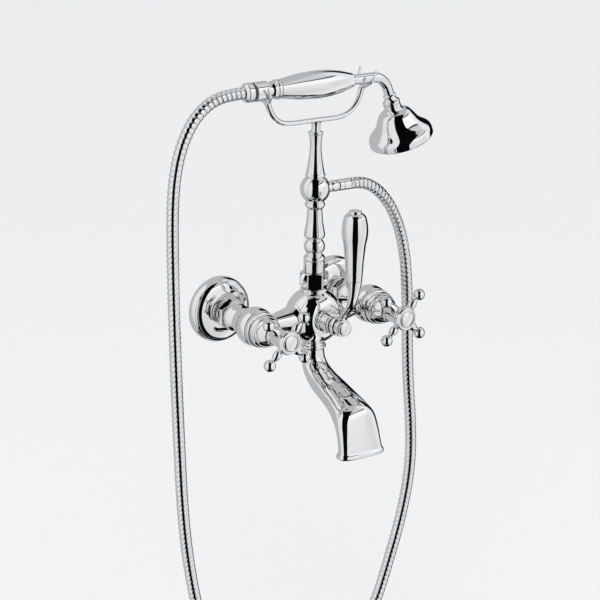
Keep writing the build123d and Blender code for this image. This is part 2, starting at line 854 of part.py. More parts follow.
with BuildPart() as diverter_bonnet:
    with BuildSketch(turning_plane(0)):
        with BuildLine():
            bonnet_start = boss_front + free_gap / 3
            bonnet_tip = bonnet_start + diverter_bonnet_length
            draw(
                (diverter_shell_r + 0.15, bonnet_start),
                (diverter_bonnet_r - 0.5, bonnet_start),
                ((diverter_bonnet_r, bonnet_start + 2.3), (diverter_bonnet_r - 0.6, bonnet_start + 4.6)),
                ((diverter_ring_r + 0.6, bonnet_start + 9.5), (diverter_ring_r, bonnet_start + 14.0)),
                (diverter_ring_r - 1.0, bonnet_start + 14.3),
                (diverter_ring_r - 1.0, bonnet_start + 15.2),
                (diverter_ring_r, bonnet_start + 15.5),
                (diverter_ring_r, bonnet_tip - 0.4),
                (diverter_ring_r - 0.7, bonnet_tip),
                (shell_neck_r + 0.15, bonnet_tip),
                (shell_neck_r + 0.15, diverter_shell_end + free_gap),
                (diverter_shell_r + 0.15, diverter_shell_end + free_gap),
            )
        make_face()
    revolve(axis=wall_axis(0))
finish(diverter_bonnet, "diverter_bonnet")

# Diverter lever: hub, eye and rising strap, as (reach, rise, half width, half depth)
strap_stations = [
    (eye_start + 2.2, 4.0, 5.0, 2.1),
    (eye_start + 2.4, 9.8, 5.2, 2.3),
    (eye_start + 8.9, 18.1, 5.2, 2.6),
    (eye_start + 17.9, 30.7, 5.3, 3.2),
    (eye_start + 20.7, 43.6, 6.3, 4.8),
    (eye_start + 21.1, 57.0, 8.4, 8.2),
]
grip_reach = strap_stations[-1][0]
grip_foot = strap_stations[-1][1]
grip_stud_r = 3.0
grip_stud_length = 10.0
with BuildPart() as lever_arm:
    for index, (reach, rise, half_width, half_depth) in enumerate(strap_stations):
        before = strap_stations[max(index - 1, 0)]
        after = strap_stations[min(index + 1, len(strap_stations) - 1)]
        along = Vector(0, -(after[0] - before[0]), after[1] - before[1])
        if index in (0, len(strap_stations) - 1):
            along = Vector(0, 0, 1)
        with BuildSketch(Plane(origin=(0, -reach, valve_z + rise), x_dir=(1, 0, 0), z_dir=along)):
            Ellipse(half_width, half_depth)
    loft()
    with BuildSketch(level_plane(grip_foot, grip_reach)):
        Circle(grip_stud_r)
    extrude(amount=grip_stud_length)
    with BuildSketch(turning_plane(0)):
        with BuildLine():
            draw(
                (0, lever_hub_start),
                (diverter_ring_r - 0.8, lever_hub_start),
                ((diverter_ring_r, lever_hub_start + 3.4), (diverter_ring_r - 0.8, eye_start - 1.4)),
                (lever_eye_r - 1.2, eye_start - 0.6),
                (lever_eye_r - 0.4, eye_start),
                ((lever_eye_r, eye_start + lever_eye_depth / 2), (lever_eye_r - 0.8, eye_end)),
                (0, eye_end),
            )
        make_face()
    revolve(axis=wall_axis(0))
    with BuildSketch(turning_plane(0)):
        with BuildLine():
            draw(
                (0, lever_hub_start),
                (spindle_r + running_gap, lever_hub_start),
                (spindle_r + running_gap, diverter_spindle_end + free_gap),
                (screw_shank_r + 0.1, diverter_spindle_end + free_gap),
                (screw_shank_r + 0.1, lever_screw_seat),
                (screw_head_r + 0.2, lever_screw_seat),
                (screw_head_r + 0.2, eye_end),
                (0, eye_end),
            )
        make_face()
    revolve(axis=wall_axis(0), mode=Mode.SUBTRACT)
finish(lever_arm, "lever_arm")

with BuildPart() as lever_screw:
    with BuildSketch(facing_plane(0, lever_screw_seat)):
        Circle(screw_head_r)
    extrude(amount=screw_head_depth)
    with BuildSketch(facing_plane(0, lever_screw_seat)):
        Circle(screw_shank_r)
    extrude(amount=-lever_screw_length)
finish(lever_screw, "lever_screw")

with BuildPart() as lever_cap:
    with BuildSketch(turning_plane(0)):
        with BuildLine():
            draw(
                (0, eye_end),
                (lever_cap_r, eye_end),
                (lever_cap_r, eye_end + lever_cap_edge),
                (
                    dome_middle(lever_cap_r, eye_end + lever_cap_edge, lever_cap_dome),
                    (0, eye_end + lever_cap_edge + lever_cap_dome),
                ),
            )
        make_face()
    revolve(axis=wall_axis(0))
finish(lever_cap, "lever_cap")

# Teardrop grip with its finial, turned about an upright line
grip_plane = upright_plane(grip_foot, grip_reach)
grip_height = 75.4
grip_hollow = 1.1
finial_r = 3.4
with BuildPart() as lever_grip:
    with BuildSketch(grip_plane):
        with BuildLine():
            draw(
                (grip_stud_r + running_gap, 0),
                (8.5, 0),
                ((10.1, 24.0), (11.9, 40.0)),
                ((13.9, grip_height - 20.4), (11.9, grip_height - 7.9)),
                ((9.4, grip_height - 4.2), (6.4, grip_height - 2.6)),
                ((6.9, grip_height - 1.2), (5.6, grip_height)),
                (finial_r, grip_height),
                (dome_middle(finial_r, grip_height, -grip_hollow), (0, grip_height - grip_hollow)),
                (0, grip_stud_length + free_gap),
                (grip_stud_r + running_gap, grip_stud_length + free_gap),
            )
        make_face()
    revolve(axis=Axis((0, -grip_reach, valve_z), (0, 0, 1)))
finish(lever_grip, "lever_grip")

# Column nut, gasket and turned column, stacked upwards from the body's seat
nut_foot = seat_rise + 0.2
nut_crown = nut_foot + column_nut_height
gasket_top = seat_top + gasket_depth
lower_foot = nut_crown + free_gap
with BuildPart() as column_nut:
    with BuildSketch(level_plane(nut_foot)):
        RegularPolygon(column_nut_flats / 2, 6, major_radius=False)
    extrude(amount=column_nut_height)
    with BuildSketch(upright_plane()):
        with BuildLine():
            corner_r = column_nut_flats / math.sqrt(3)
            draw(
                (0, nut_foot),
                (corner_r - 1.6, nut_foot),
                (corner_r, nut_foot + 1.0),
                (corner_r, nut_crown - 1.0),
                (corner_r - 1.6, nut_crown),
                (0, nut_crown),
            )
        make_face()
    revolve(axis=column_axis, mode=Mode.INTERSECT)
    with BuildSketch(upright_plane()):
        with BuildLine():
            draw(
                (0, nut_foot),
                (spigot_r + thread_gap, nut_foot),
                (spigot_r + thread_gap, nut_crown - column_nut_lip),
                (column_neck_r + thread_gap, nut_crown - column_nut_lip),
                (column_neck_r + thread_gap, nut_crown),
                (0, nut_crown),
            )
        make_face()
    revolve(axis=column_axis, mode=Mode.SUBTRACT)
finish(column_nut, "column_nut")

with BuildPart() as column_gasket:
    with BuildSketch(level_plane(seat_top)):
        Circle(spigot_r - 0.3)
        Circle(spigot_r - 3.4, mode=Mode.SUBTRACT)
    extrude(amount=gasket_depth)
finish(column_gasket, "column_gasket")

# Turning of the lower column, as heights above the face over the nut
lower_height = 78.0
taper_low = 43.4
taper_top = lower_height - 10.2
with BuildPart() as lower_column:
    with BuildSketch(upright_plane(lower_foot)):
        with BuildLine():
            flange_low = gasket_top - lower_foot
            draw(
                (column_bore_r, flange_low),
                (spigot_r - 0.2, flange_low),
                (spigot_r - 0.2, flange_low + column_flange_height),
                (column_neck_r, flange_low + column_flange_height),
                (column_neck_r, 0),
                (11.45, 0),
                (11.45, 11.0),
                (10.7, 11.6),
                (10.7, 12.4),
                ((11.6, 14.6), (10.9, 17.0)),
                (8.4, 18.6),
                (8.4, 21.6),
                ((11.3, 28.2), (8.4, 34.4)),
                (8.4, 35.6),
                ((9.2, 36.6), (10.9, 38.2)),
                ((11.4, 40.0), (11.0, taper_low)),
                ((9.1, 0.56 * taper_low + 0.44 * taper_top), (8.0, taper_top)),
                (8.0, lower_height - 8.4),
                (9.4, lower_height - 7.4),
                ((10.9, lower_height - 4.4), (9.6, lower_height - 1.4)),
                (9.6, lower_height),
                (tee_stub_r, lower_height),
                (tee_stub_r, lower_height + tee_stub_length),
                (column_bore_r, lower_height + tee_stub_length),
            )
        make_face()
    revolve(axis=column_axis)
finish(lower_column, "lower_column")

# Column tee: a ball between two flats, with the hose outlet screwed in from the side
ball_rise = lower_foot + lower_height + tee_ball_flat
upper_foot = ball_rise + tee_ball_flat
with BuildPart() as column_tee:
    with BuildSketch(upright_plane(ball_rise)):
        with BuildLine():
            flat_r = math.sqrt(tee_ball_r**2 - tee_ball_flat**2)
            draw(
                (0, -tee_ball_flat),
                (flat_r, -tee_ball_flat),
                ((tee_ball_r, 0), (flat_r, tee_ball_flat)),
                (0, tee_ball_flat),
            )
        make_face()
    revolve(axis=column_axis)
    with BuildSketch(level_plane(ball_rise - tee_ball_flat)):
        Circle(tee_stub_r + thread_gap)
    extrude(amount=tee_stub_length + free_gap, mode=Mode.SUBTRACT)
    with BuildSketch(level_plane(ball_rise - tee_ball_flat)):
        Circle(column_bore_r)
    extrude(amount=tee_ball_flat + column_bore_r, mode=Mode.SUBTRACT)
    with BuildSketch(level_plane(ball_rise + tee_ball_flat)):
        Circle(upper_stub_r + thread_gap)
    extrude(amount=-(tee_stub_length + free_gap), mode=Mode.SUBTRACT)
    with BuildSketch(Plane(origin=(0, -body_reach, valve_z + ball_rise), z_dir=(1, 0, 0))):
        Circle(hose_thread_r)
    extrude(amount=tee_ball_r, mode=Mode.SUBTRACT)
finish(column_tee, "column_tee")

# Upper column, as heights above the ball's upper flat
upper_height = 49.4
waist_low = 24.0
waist_top = upper_height - 2.8
with BuildPart() as upper_column:
    with BuildSketch(upright_plane(upper_foot)):
        with BuildLine():
            socket_floor = upper_height - cradle_socket_depth
            draw(
                (0, -tee_stub_length),
                (upper_stub_r, -tee_stub_length),
                (upper_stub_r, 0),
                (9.6, 0),
                (9.6, 1.0),
                ((10.7, 2.8), (10.2, 5.0)),
                ((8.0, 15.2), (6.8, waist_low)),
                ((6.1, 0.53 * waist_low + 0.47 * waist_top), (7.2, waist_top)),
                ((8.2, upper_height - 1.4), (7.4, upper_height)),
                (cradle_stem_r + running_gap, upper_height),
                (cradle_stem_r + running_gap, socket_floor),
                (0, socket_floor),
            )
        make_face()
    revolve(axis=column_axis)
    grub_rise = upper_foot + upper_height - grub_depth
    with BuildSketch(Plane(origin=(0, -body_reach, valve_z + grub_rise), z_dir=(0, 1, 0))):
        Circle(grub_r + running_gap)
    extrude(amount=2 * cradle_stem_r, mode=Mode.SUBTRACT)
finish(upper_column, "upper_column")

with BuildPart() as cradle_screw:
    with BuildSketch(
        Plane(origin=(0, -body_reach + cradle_stem_r, valve_z + grub_rise), z_dir=(0, 1, 0))
    ):
        Circle(grub_r)
    extrude(amount=grub_length)
finish(cradle_screw, "cradle_screw")

# Hose outlet of the tee
outlet_plane = Plane(origin=(0, -body_reach, valve_z + ball_rise), x_dir=(0, 0, 1), z_dir=(0, 1, 0))
outlet_axis = Axis((0, -body_reach, valve_z + ball_rise), (1, 0, 0))
with BuildPart() as hose_outlet:
    with BuildSketch(outlet_plane):
        with BuildLine():
            draw(
                (water_bore_r, tee_ball_r - outlet_tail_length),
                (hose_thread_r - running_gap, tee_ball_r - outlet_tail_length),
                (hose_thread_r - running_gap, outlet_knob_start + 0.3),
                (outlet_knob_r - 0.6, outlet_knob_start + 0.3),
                (outlet_knob_r - 0.6, outlet_knob_start + 2.4),
                (outlet_knob_r - 1.2, outlet_knob_start + 3.2),
                (
                    (outlet_knob_r, outlet_knob_start + 7.6),
                    (outlet_knob_r - 1.0, outlet_knob_end),
                ),
                (hose_thread_r + thread_gap, outlet_knob_end),
                (hose_thread_r + thread_gap, outlet_knob_end - hose_thread_length),
                (water_bore_r, outlet_knob_end - hose_thread_length),
            )
        make_face()
    revolve(axis=outlet_axis)
finish(hose_outlet, "hose_outlet")

# Crimped ferrule of the hose, screwed into the outlet against a washer
ferrule_start = outlet_knob_end + 0.2
washer_depth = 1.5
with BuildPart() as outlet_ferrule:
    with BuildSketch(outlet_plane):
        with BuildLine():
            draw(
                (2.6, outlet_knob_end - hose_thread_length + washer_depth),
                (hose_thread_r, outlet_knob_end - hose_thread_length + washer_depth),
                (hose_thread_r, ferrule_start),
                (ferrule_r - 0.5, ferrule_start),
                (ferrule_r, ferrule_start + 0.8),
                (ferrule_r, ferrule_end),
                (2.6, ferrule_end),
            )
        make_face()
    revolve(axis=outlet_axis)
finish(outlet_ferrule, "outlet_ferrule")

with BuildPart() as hose_washer_mixer:
    with BuildSketch(outlet_plane):
        with BuildLine():
            ring(
                water_bore_r,
                hose_thread_r - 0.2,
                outlet_knob_end - hose_thread_length,
                outlet_knob_end - hose_thread_length + washer_depth,
            )
        make_face()
    revolve(axis=outlet_axis)
finish(hose_washer_mixer, "hose_washer_mixer")

# Cradle: stem, bent rod and two leaning forks, drawn in the upright plane of the column
stem_foot = upper_foot + upper_height - cradle_socket_depth + free_gap
rod_rise = upper_foot + upper_height + cradle_rod_gap
handset_rise = rod_rise + cradle_height
left_fork_x = -60.0
right_fork_x = 57.5
left_fork_low = handset_rise - hose_nut_r - free_gap - fork_base - 0.6
right_fork_low = handset_rise - shaft_r - free_gap - fork_base - 0.6
rod_points = [
    (left_fork_x, left_fork_low + 2.5),
    (left_fork_x + 9.5, rod_rise + 6.5),
    (left_fork_x + 23.0, rod_rise + 0.4),
    (right_fork_x - 33.5, rod_rise - 0.4),
    (right_fork_x - 13.0, rod_rise + 5.6),
    (right_fork_x - 3.9, rod_rise + 13.2),
    (right_fork_x, right_fork_low + 2.5),
]
forks = [
    (left_fork_x - 1.2, left_fork_low, -fork_lean),
    (right_fork_x + 1.2, right_fork_low, fork_lean),
]
with BuildPart() as cradle:
    with BuildLine(upright_plane()) as rod_path:
        FilletPolyline(*rod_points, radius=fillet_radii(rod_points))
    with BuildSketch(Plane(origin=rod_path.line @ 0, z_dir=rod_path.line % 0)):
        Circle(cradle_rod_r)
    sweep()
    with BuildSketch(level_plane(stem_foot)):
        Circle(cradle_stem_r)
    extrude(amount=rod_rise - stem_foot)
    with BuildSketch(upright_plane()):
        with BuildLine():
            web = cradle_stem_r + 6.5
            draw(
                (-web, rod_rise - 1.0),
                ((-cradle_stem_r - 1.3, rod_rise - 3.4), (-cradle_stem_r + 0.3, rod_rise - cradle_web)),
                (cradle_stem_r - 0.3, rod_rise - cradle_web),
                ((cradle_stem_r + 1.3, rod_rise - 3.4), (web, rod_rise - 1.0)),
                (web, rod_rise + 1.0),
                (-web, rod_rise + 1.0),
            )
        make_face()
    extrude(amount=cradle_rod_r - 0.4, both=True)
    for fork_x, fork_low, lean in forks:
        up = Vector(math.sin(math.radians(lean)), 0, math.cos(math.radians(lean)))
        facing = Vector(0, -1, 0).cross(up)
        fork_plane = Plane(
            origin=(fork_x, -body_reach, valve_z + fork_low), x_dir=(0, -1, 0), z_dir=facing
        )
        with BuildSketch(fork_plane):
            with BuildLine():
                prong_end = fork_base + fork_inner_r + fork_prong
                outer_half = fork_inner_r + fork_tip
                draw(
                    (-fork_inner_r, prong_end),
                    ((0, fork_base), (fork_inner_r, prong_end)),
                    ((fork_inner_r + fork_tip / 2, prong_end + fork_tip / 2), (outer_half, prong_end)),
                    ((0, 0), (-outer_half, prong_end)),
                    ((-fork_inner_r - fork_tip / 2, prong_end + fork_tip / 2), (-fork_inner_r, prong_end)),
                )
            make_face()
        extrude(amount=fork_depth / 2, both=True)
finish(cradle, "cradle")

# Handset, turned about a level line along X
handset_plane = Plane(
    origin=(0, -body_reach, valve_z + handset_rise), x_dir=(0, 0, 1), z_dir=(0, 1, 0)
)
handset_axis = Axis((0, -body_reach, valve_z + handset_rise), (1, 0, 0))
inlet_end = grip_start - 0.1
tube_start = inlet_shoulder + 4.0
with BuildPart() as handset_inlet:
    with BuildSketch(handset_plane):
        with BuildLine():
            draw(
                (water_bore_r, inlet_start),
                (inlet_thread_r, inlet_start),
                (inlet_thread_r, inlet_shoulder),
                (7.6, inlet_shoulder),
                ((7.9, inlet_shoulder + 3.0), (9.2, inlet_shoulder + 5.6)),
                (9.2, inlet_shoulder + 9.0),
                (10.0, inlet_shoulder + 9.4),
                ((10.5, inlet_shoulder + 11.4), (10.0, inlet_end)),
                (tail_tube_r + thread_gap, inlet_end),
                (tail_tube_r + thread_gap, tube_start - free_gap),
                (water_bore_r, tube_start - free_gap),
            )
        make_face()
    revolve(axis=handset_axis)
finish(handset_inlet, "handset_inlet")

with BuildPart() as handset_grip:
    with BuildSketch(handset_plane):
        with BuildLine():
            draw(
                (grip_bore_r, grip_start),
                (9.8, grip_start),
                ((13.9, -21.0), (14.8, 0)),
                ((13.35, 20.0), (7.5, grip_end)),
                (grip_bore_r, grip_end),
            )
        make_face()
    revolve(axis=handset_axis)
finish(handset_grip, "handset_grip")

# Gooseneck: tail tube, shaft, bend and collar with a spigot for the bell
bend_angle = math.radians(neck_bend_turn)
bend_end_x = neck_bend_x + neck_bend_r * math.sin(bend_angle)
bend_end_rise = handset_rise - neck_bend_r * (1 - math.cos(bend_angle))
bell_way = Vector(math.cos(bend_angle), 0, -math.sin(bend_angle))
bell_x = bend_end_x + neck_reach * bell_way.X
bell_rise = bend_end_rise + neck_reach * bell_way.Z
bell_origin = Vector(bell_x, -body_reach, valve_z + bell_rise)
bell_side = bell_way.cross(Vector(0, 1, 0))
bell_plane = Plane(origin=bell_origin, x_dir=bell_side, z_dir=bell_side.cross(bell_way))
bell_axis = Axis(bell_origin, bell_way)
shaft_start = grip_end + 0.1
spigot_depth = 5.8
with BuildPart() as handset_neck:
    with BuildSketch(handset_plane):
        with BuildLine():
            draw(
                (0, tube_start),
                (tail_tube_r, tube_start),
                (tail_tube_r, shaft_start),
                (7.4, shaft_start),
                (7.4, shaft_start + 1.4),
                (shaft_r, shaft_start + 2.4),
                (shaft_r, neck_bend_x),
                (0, neck_bend_x),
            )
        make_face()
    revolve(axis=handset_axis)
    with BuildLine(upright_plane()) as neck_path:
        Line((neck_bend_x - 1.0, handset_rise), (neck_bend_x, handset_rise))
        CenterArc((neck_bend_x, handset_rise - neck_bend_r), neck_bend_r, 90, -neck_bend_turn)
        Line((bend_end_x, bend_end_rise), (bell_x, bell_rise))
    with BuildSketch(Plane(origin=neck_path.line @ 0, z_dir=neck_path.line % 0)):
        Circle(shaft_r - 0.1)
    sweep()
    with BuildSketch(bell_plane):
        with BuildLine():
            draw(
                (0, -10.5),
                (shaft_r, -10.5),
                (6.8, -9.6),
                ((6.2, -8.0), (6.6, -6.6)),
                ((7.6, -4.4), (neck_collar_r, -2.6)),
                (neck_collar_r, -0.1),
                (neck_spigot_r, -0.1),
                (neck_spigot_r, spigot_depth),
                (0, spigot_depth),
            )
        make_face()
    revolve(axis=bell_axis)
    with BuildSketch(Plane(handset_plane.origin, x_dir=(0, 0, 1), z_dir=(1, 0, 0)).offset(tube_start)):
        Circle(water_bore_r)
    extrude(amount=neck_bend_x - tube_start, mode=Mode.SUBTRACT)
    with BuildLine(upright_plane()) as bore_path:
        Line((neck_bend_x - 1.0, handset_rise), (neck_bend_x, handset_rise))
        CenterArc((neck_bend_x, handset_rise - neck_bend_r), neck_bend_r, 90, -neck_bend_turn)
        Line(
            (bend_end_x, bend_end_rise),
            (bell_x + spigot_depth * bell_way.X, bell_rise + spigot_depth * bell_way.Z),
        )
    with BuildSketch(Plane(origin=bore_path.line @ 0, z_dir=bore_path.line % 0)):
        Circle(water_bore_r)
    sweep(mode=Mode.SUBTRACT)
finish(handset_neck, "handset_neck")

# Rose bell, as radii and depths along its own axis
socket_end = spigot_depth + 1.8
with BuildPart() as rose_bell:
    with BuildSketch(bell_plane):
        with BuildLine():
            rim = bell_depth
            plate_seat = rim - plate_set_back - plate_depth
            draw(
                (neck_spigot_r + running_gap, 0.1),
                (neck_collar_r, 0.1),
                (9.0, 4.6),
                ((11.6, 5.6), (14.5, 7.0)),
                ((20.2, 11.2), (22.2, 16.0)),
                ((25.4, 22.4), (30.4, 27.6)),
                ((33.6, 31.0), (bell_r - 0.4, 34.6)),
                (bell_r, 36.0),
                (bell_r, rim - 0.6),
                (bell_r - 0.6, rim),
                (bell_r - bell_wall, rim),
                (bell_r - bell_wall, plate_seat),
                (bell_r - 2.2 * bell_wall, plate_seat),
                ((31.0, 30.6), (28.6, 28.2)),
                ((23.6, 23.0), (20.4, 16.6)),
                ((18.6, 12.6), (12.8, 9.4)),
                (3.6, 9.4),
                (3.6, socket_end),
                (neck_spigot_r + running_gap, socket_end),
            )
        make_face()
    revolve(axis=bell_axis)
finish(rose_bell, "rose_bell")

with BuildPart() as rose_gasket:
    with BuildSketch(bell_plane):
        with BuildLine():
            ring(3.8, neck_spigot_r - 0.2, spigot_depth + 0.1, socket_end)
        make_face()
    revolve(axis=bell_axis)
finish(rose_gasket, "rose_gasket")

# Spray plate with rings of jets
jet_rings = [(9.0, 8), (18.0, 16), (27.0, 24)]
jet_r = 0.7
plate_plane = Plane(
    origin=bell_origin + bell_way * (bell_depth - plate_set_back - plate_depth), z_dir=bell_way
)
with BuildPart() as spray_plate:
    with BuildSketch(plate_plane):
        Circle(bell_r - bell_wall - running_gap)
        for ring_r, jets in jet_rings:
            with PolarLocations(ring_r, jets):
                Circle(jet_r, mode=Mode.SUBTRACT)
    extrude(amount=plate_depth)
finish(spray_plate, "spray_plate")

# Hose end at the handset: washer, swivel nut and crimped cone
with BuildPart() as hose_washer_handset:
    with BuildSketch(handset_plane):
        with BuildLine():
            ring(water_bore_r, inlet_thread_r - 0.3, inlet_start - washer_depth, inlet_start)
        make_face()
    revolve(axis=handset_axis)
finish(hose_washer_handset, "hose_washer_handset")

nut_back = cone_end + 0.8
with BuildPart() as hose_nut:
    with BuildSketch(handset_plane):
        with BuildLine():
            draw(
                (6.6, nut_back),
                (hose_nut_r - 1.6, nut_back),
                (hose_nut_r - 1.6, hose_nut_start - 0.6),
                (hose_nut_r, hose_nut_start),
                (hose_nut_r, hose_nut_end - 1.2),
                (hose_nut_r - 1.0, hose_nut_end),
                (inlet_thread_r + thread_gap, hose_nut_end),
                (inlet_thread_r + thread_gap, inlet_start - 2 * washer_depth),
                (6.6, inlet_start - 2 * washer_depth),
            )
        make_face()
    revolve(axis=handset_axis)
finish(hose_nut, "hose_nut")

with BuildPart() as hose_cone:
    with BuildSketch(handset_plane):
        with BuildLine():
            draw(
                (water_bore_r, cone_start),
                (hose_r + 0.8, cone_start),
                (hose_nut_r - 0.2, cone_start + 2.4),
                (hose_nut_r, cone_start + 3.2),
                (hose_nut_r, cone_end - 0.4),
                (hose_nut_r - 0.4, cone_end),
                (6.5, cone_end),
                (6.5, inlet_start - washer_depth - 1.4),
                (inlet_thread_r - 0.3, inlet_start - washer_depth - 1.4),
                (inlet_thread_r - 0.3, inlet_start - washer_depth - running_gap),
                (water_bore_r, inlet_start - washer_depth - running_gap),
            )
        make_face()
    revolve(axis=handset_axis)
finish(hose_cone, "hose_cone")

# Hose: a hanging loop in the upright plane of the column, from the handset to the column tee
hose_points = [
    (cone_start - free_gap, handset_rise),
    (-106.0, handset_rise),
    (-125.0, 248.0),
    (-143.5, 236.5),
    (-158.0, 217.0),
    (-168.0, 192.0),
    (-174.0, 158.0),
    (-175.3, 105.0),
    (-173.5, 0.0),
    (-170.0, -105.0),
    (-166.0, -195.0),
    (-158.5, -260.0),
    (-147.0, -318.0),
    (-130.0, -375.0),
    (-97.0, -416.0),
    (-45.0, -441.0),
    (12.0, -438.0),
    (60.0, -412.0),
    (91.0, -372.0),
    (110.0, -318.0),
    (126.0, -268.0),
    (137.0, -215.0),
    (138.0, -165.0),
    (129.5, -85.0),
    (126.8, -5.0),
    (124.0, 33.0),
    (119.2, 60.0),
    (113.0, 81.0),
    (105.2, 98.3),
    (96.0, 113.2),
    (84.2, 126.2),
    (71.0, ball_rise - 4.4),
    (57.0, ball_rise),
    (ferrule_end, ball_rise),
]
hose_radii = fillet_radii(hose_points)
print("hose radii", [round(radius) for radius in hose_radii])
with BuildLine(upright_plane()) as hose_path:
    FilletPolyline(*hose_points, radius=hose_radii)
hose_wire = hose_path.wire()
hose_length = hose_wire.length
print("hose length", round(hose_length, 1))


def hose_section_plane(distance):
    """Plane square to the hose at a distance along it, with a steady X axis."""
    share = min(max(distance / hose_length, 0.0), 1.0)
    return Plane(origin=hose_wire @ share, x_dir=(0, 1, 0), z_dir=hose_wire % share)


plain_end = 2 * hose_r
rib_pitch = (hose_length - 2 * plain_end) / rib_count
with BuildPart() as shower_hose:
    with BuildSketch(hose_section_plane(0)):
        Circle(hose_root_r)
    for rib in range(rib_count):
        rib_start = plain_end + rib * rib_pitch
        for share, radius in ((0.0, hose_root_r), (0.14, hose_r), (0.76, hose_r), (0.9, hose_root_r)):
            with BuildSketch(hose_section_plane(rib_start + share * rib_pitch)):
                Circle(radius)
    with BuildSketch(hose_section_plane(hose_length)):
        Circle(hose_root_r)
    loft(ruled=True)
    with BuildSketch(hose_section_plane(0)):
        Circle(hose_bore_r)
    sweep(path=hose_wire, mode=Mode.SUBTRACT)
finish(shower_hose, "shower_hose")
slope_square = (hose_r**2 + hose_r * hose_root_r + hose_root_r**2) / 3
mean_square = 0.62 * hose_r**2 + 0.1 * hose_root_r**2 + 0.28 * slope_square
expected = math.pi * (mean_square - hose_bore_r**2) * hose_length
print("hose volume", round(shower_hose.part.volume), "expected about", round(expected))

# Spout, as (way out, drop, half width, half depth, squareness) from the foot of the body to the mouth
spout_stations = [
    (0.0, 0.0, 12.0, 12.0, 2.0),
    (0.0, 9.6, 12.0, 12.0, 2.0),
    (4.1, 20.1, 13.2, 12.6, 2.1),
    (18.6, 31.6, 16.2, 12.5, 2.3),
    (42.6, 41.1, 18.5, 12.0, 2.4),
    (63.6, 51.1, 20.2, 11.0, 2.5),
    (77.6, 64.1, 22.6, 10.2, 2.7),
    (86.1, 79.1, 25.4, 9.4, 2.9),
    (89.8, 89.6, 27.4, 9.2, 3.1),
    (90.6, 95.6, 29.6, 10.2, 3.2),
]
section_points = 20


def spout_plane(index):
    """Plane square to the spout's centre line at a station."""
    before = spout_stations[max(index - 1, 0)]
    after = spout_stations[min(index + 1, len(spout_stations) - 1)]
    way_out, drop = spout_stations[index][:2]
    along = Vector(0, before[0] - after[0], before[1] - after[1])
    if index in (0, 1, len(spout_stations) - 1):
        along = Vector(0, 0, -1)
    origin = (0, -body_reach - way_out, valve_z - foot_drop - drop)
    return Plane(origin=origin, x_dir=(1, 0, 0), z_dir=along)


def rounded_section(half_width, half_depth, squareness):
    """Closed curve between an ellipse (squareness 2) and a rounded rectangle."""
    points = []
    for step in range(section_points):
        angle = 2 * math.pi * step / section_points
        cosine = math.cos(angle)
        sine = math.sin(angle)
        points.append(
            (
                math.copysign(half_width * abs(cosine) ** (2 / squareness), cosine),
                math.copysign(half_depth * abs(sine) ** (2 / squareness), sine),
            )
        )
    return points


with BuildPart() as spout:
    for index, (way_out, drop, half_width, half_depth, squareness) in enumerate(spout_stations):
        with BuildSketch(spout_plane(index)):
            with BuildLine():
                Spline(*rounded_section(half_width, half_depth, squareness), periodic=True)
            make_face()
    loft()
    for index, (way_out, drop, half_width, half_depth, squareness) in enumerate(spout_stations):
        with BuildSketch(spout_plane(index)):
            with BuildLine():
                Spline(
                    *rounded_section(half_width - spout_wall, half_depth - spout_wall, squareness),
                    periodic=True,
                )
            make_face()
    loft(mode=Mode.SUBTRACT)
    with BuildSketch(level_plane(-foot_drop)):
        Circle(seat_neck_r - 0.4)
        Circle(nipple_r + thread_gap, mode=Mode.SUBTRACT)
    extrude(amount=-nipple_hold)
finish(spout, "spout")

with BuildPart() as spout_nipple:
    with BuildSketch(level_plane(-foot_drop - nipple_hold)):
        Circle(nipple_r)
        Circle(nipple_r - nipple_wall, mode=Mode.SUBTRACT)
    extrude(amount=nipple_hold + nipple_socket - 0.5)
finish(spout_nipple, "spout_nipple")
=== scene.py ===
import json
import math

import bpy
import numpy as np
from mathutils import Matrix, Vector


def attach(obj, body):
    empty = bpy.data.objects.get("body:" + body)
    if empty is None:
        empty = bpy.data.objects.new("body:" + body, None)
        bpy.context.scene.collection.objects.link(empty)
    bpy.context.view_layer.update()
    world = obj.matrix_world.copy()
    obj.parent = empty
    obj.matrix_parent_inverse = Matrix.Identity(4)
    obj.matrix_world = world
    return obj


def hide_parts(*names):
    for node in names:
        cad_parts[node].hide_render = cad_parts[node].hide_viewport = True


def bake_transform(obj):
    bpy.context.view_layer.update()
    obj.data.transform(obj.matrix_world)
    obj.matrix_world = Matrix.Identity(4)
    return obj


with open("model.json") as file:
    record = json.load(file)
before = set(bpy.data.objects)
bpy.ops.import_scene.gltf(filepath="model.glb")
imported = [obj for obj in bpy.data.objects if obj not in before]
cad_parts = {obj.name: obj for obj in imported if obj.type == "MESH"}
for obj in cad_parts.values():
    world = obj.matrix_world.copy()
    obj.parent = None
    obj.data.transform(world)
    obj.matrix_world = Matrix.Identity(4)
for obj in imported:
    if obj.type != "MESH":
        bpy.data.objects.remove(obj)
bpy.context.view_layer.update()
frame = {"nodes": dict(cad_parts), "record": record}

# Wall-mounted bath filler with a hand shower.
# Shapes are in millimetres: x along the wall, reach out of it, rise above the valve axes.
# The hose's route, the studio and the camera are in metres, in the frame's own axes.

MM = 0.001
TINY = 1e-6
# Height of the valve axes in the frame, reach of the column and the mixer body, and the valves' x
AXES_HEIGHT = 8.0
REACH = 75.4
VALVE_X = 75.0
SIDES = {"hot": -1, "cold": 1}


def spot(x, reach, rise):
    """A place in millimetres, as a numpy vector in the frame's axes."""
    return np.array((x, -reach, rise + AXES_HEIGHT), float)


OUT = np.array((0.0, -1.0, 0.0))
UP = np.array((0.0, 0.0, 1.0))
ALONG = np.array((1.0, 0.0, 0.0))


# Mesh helpers

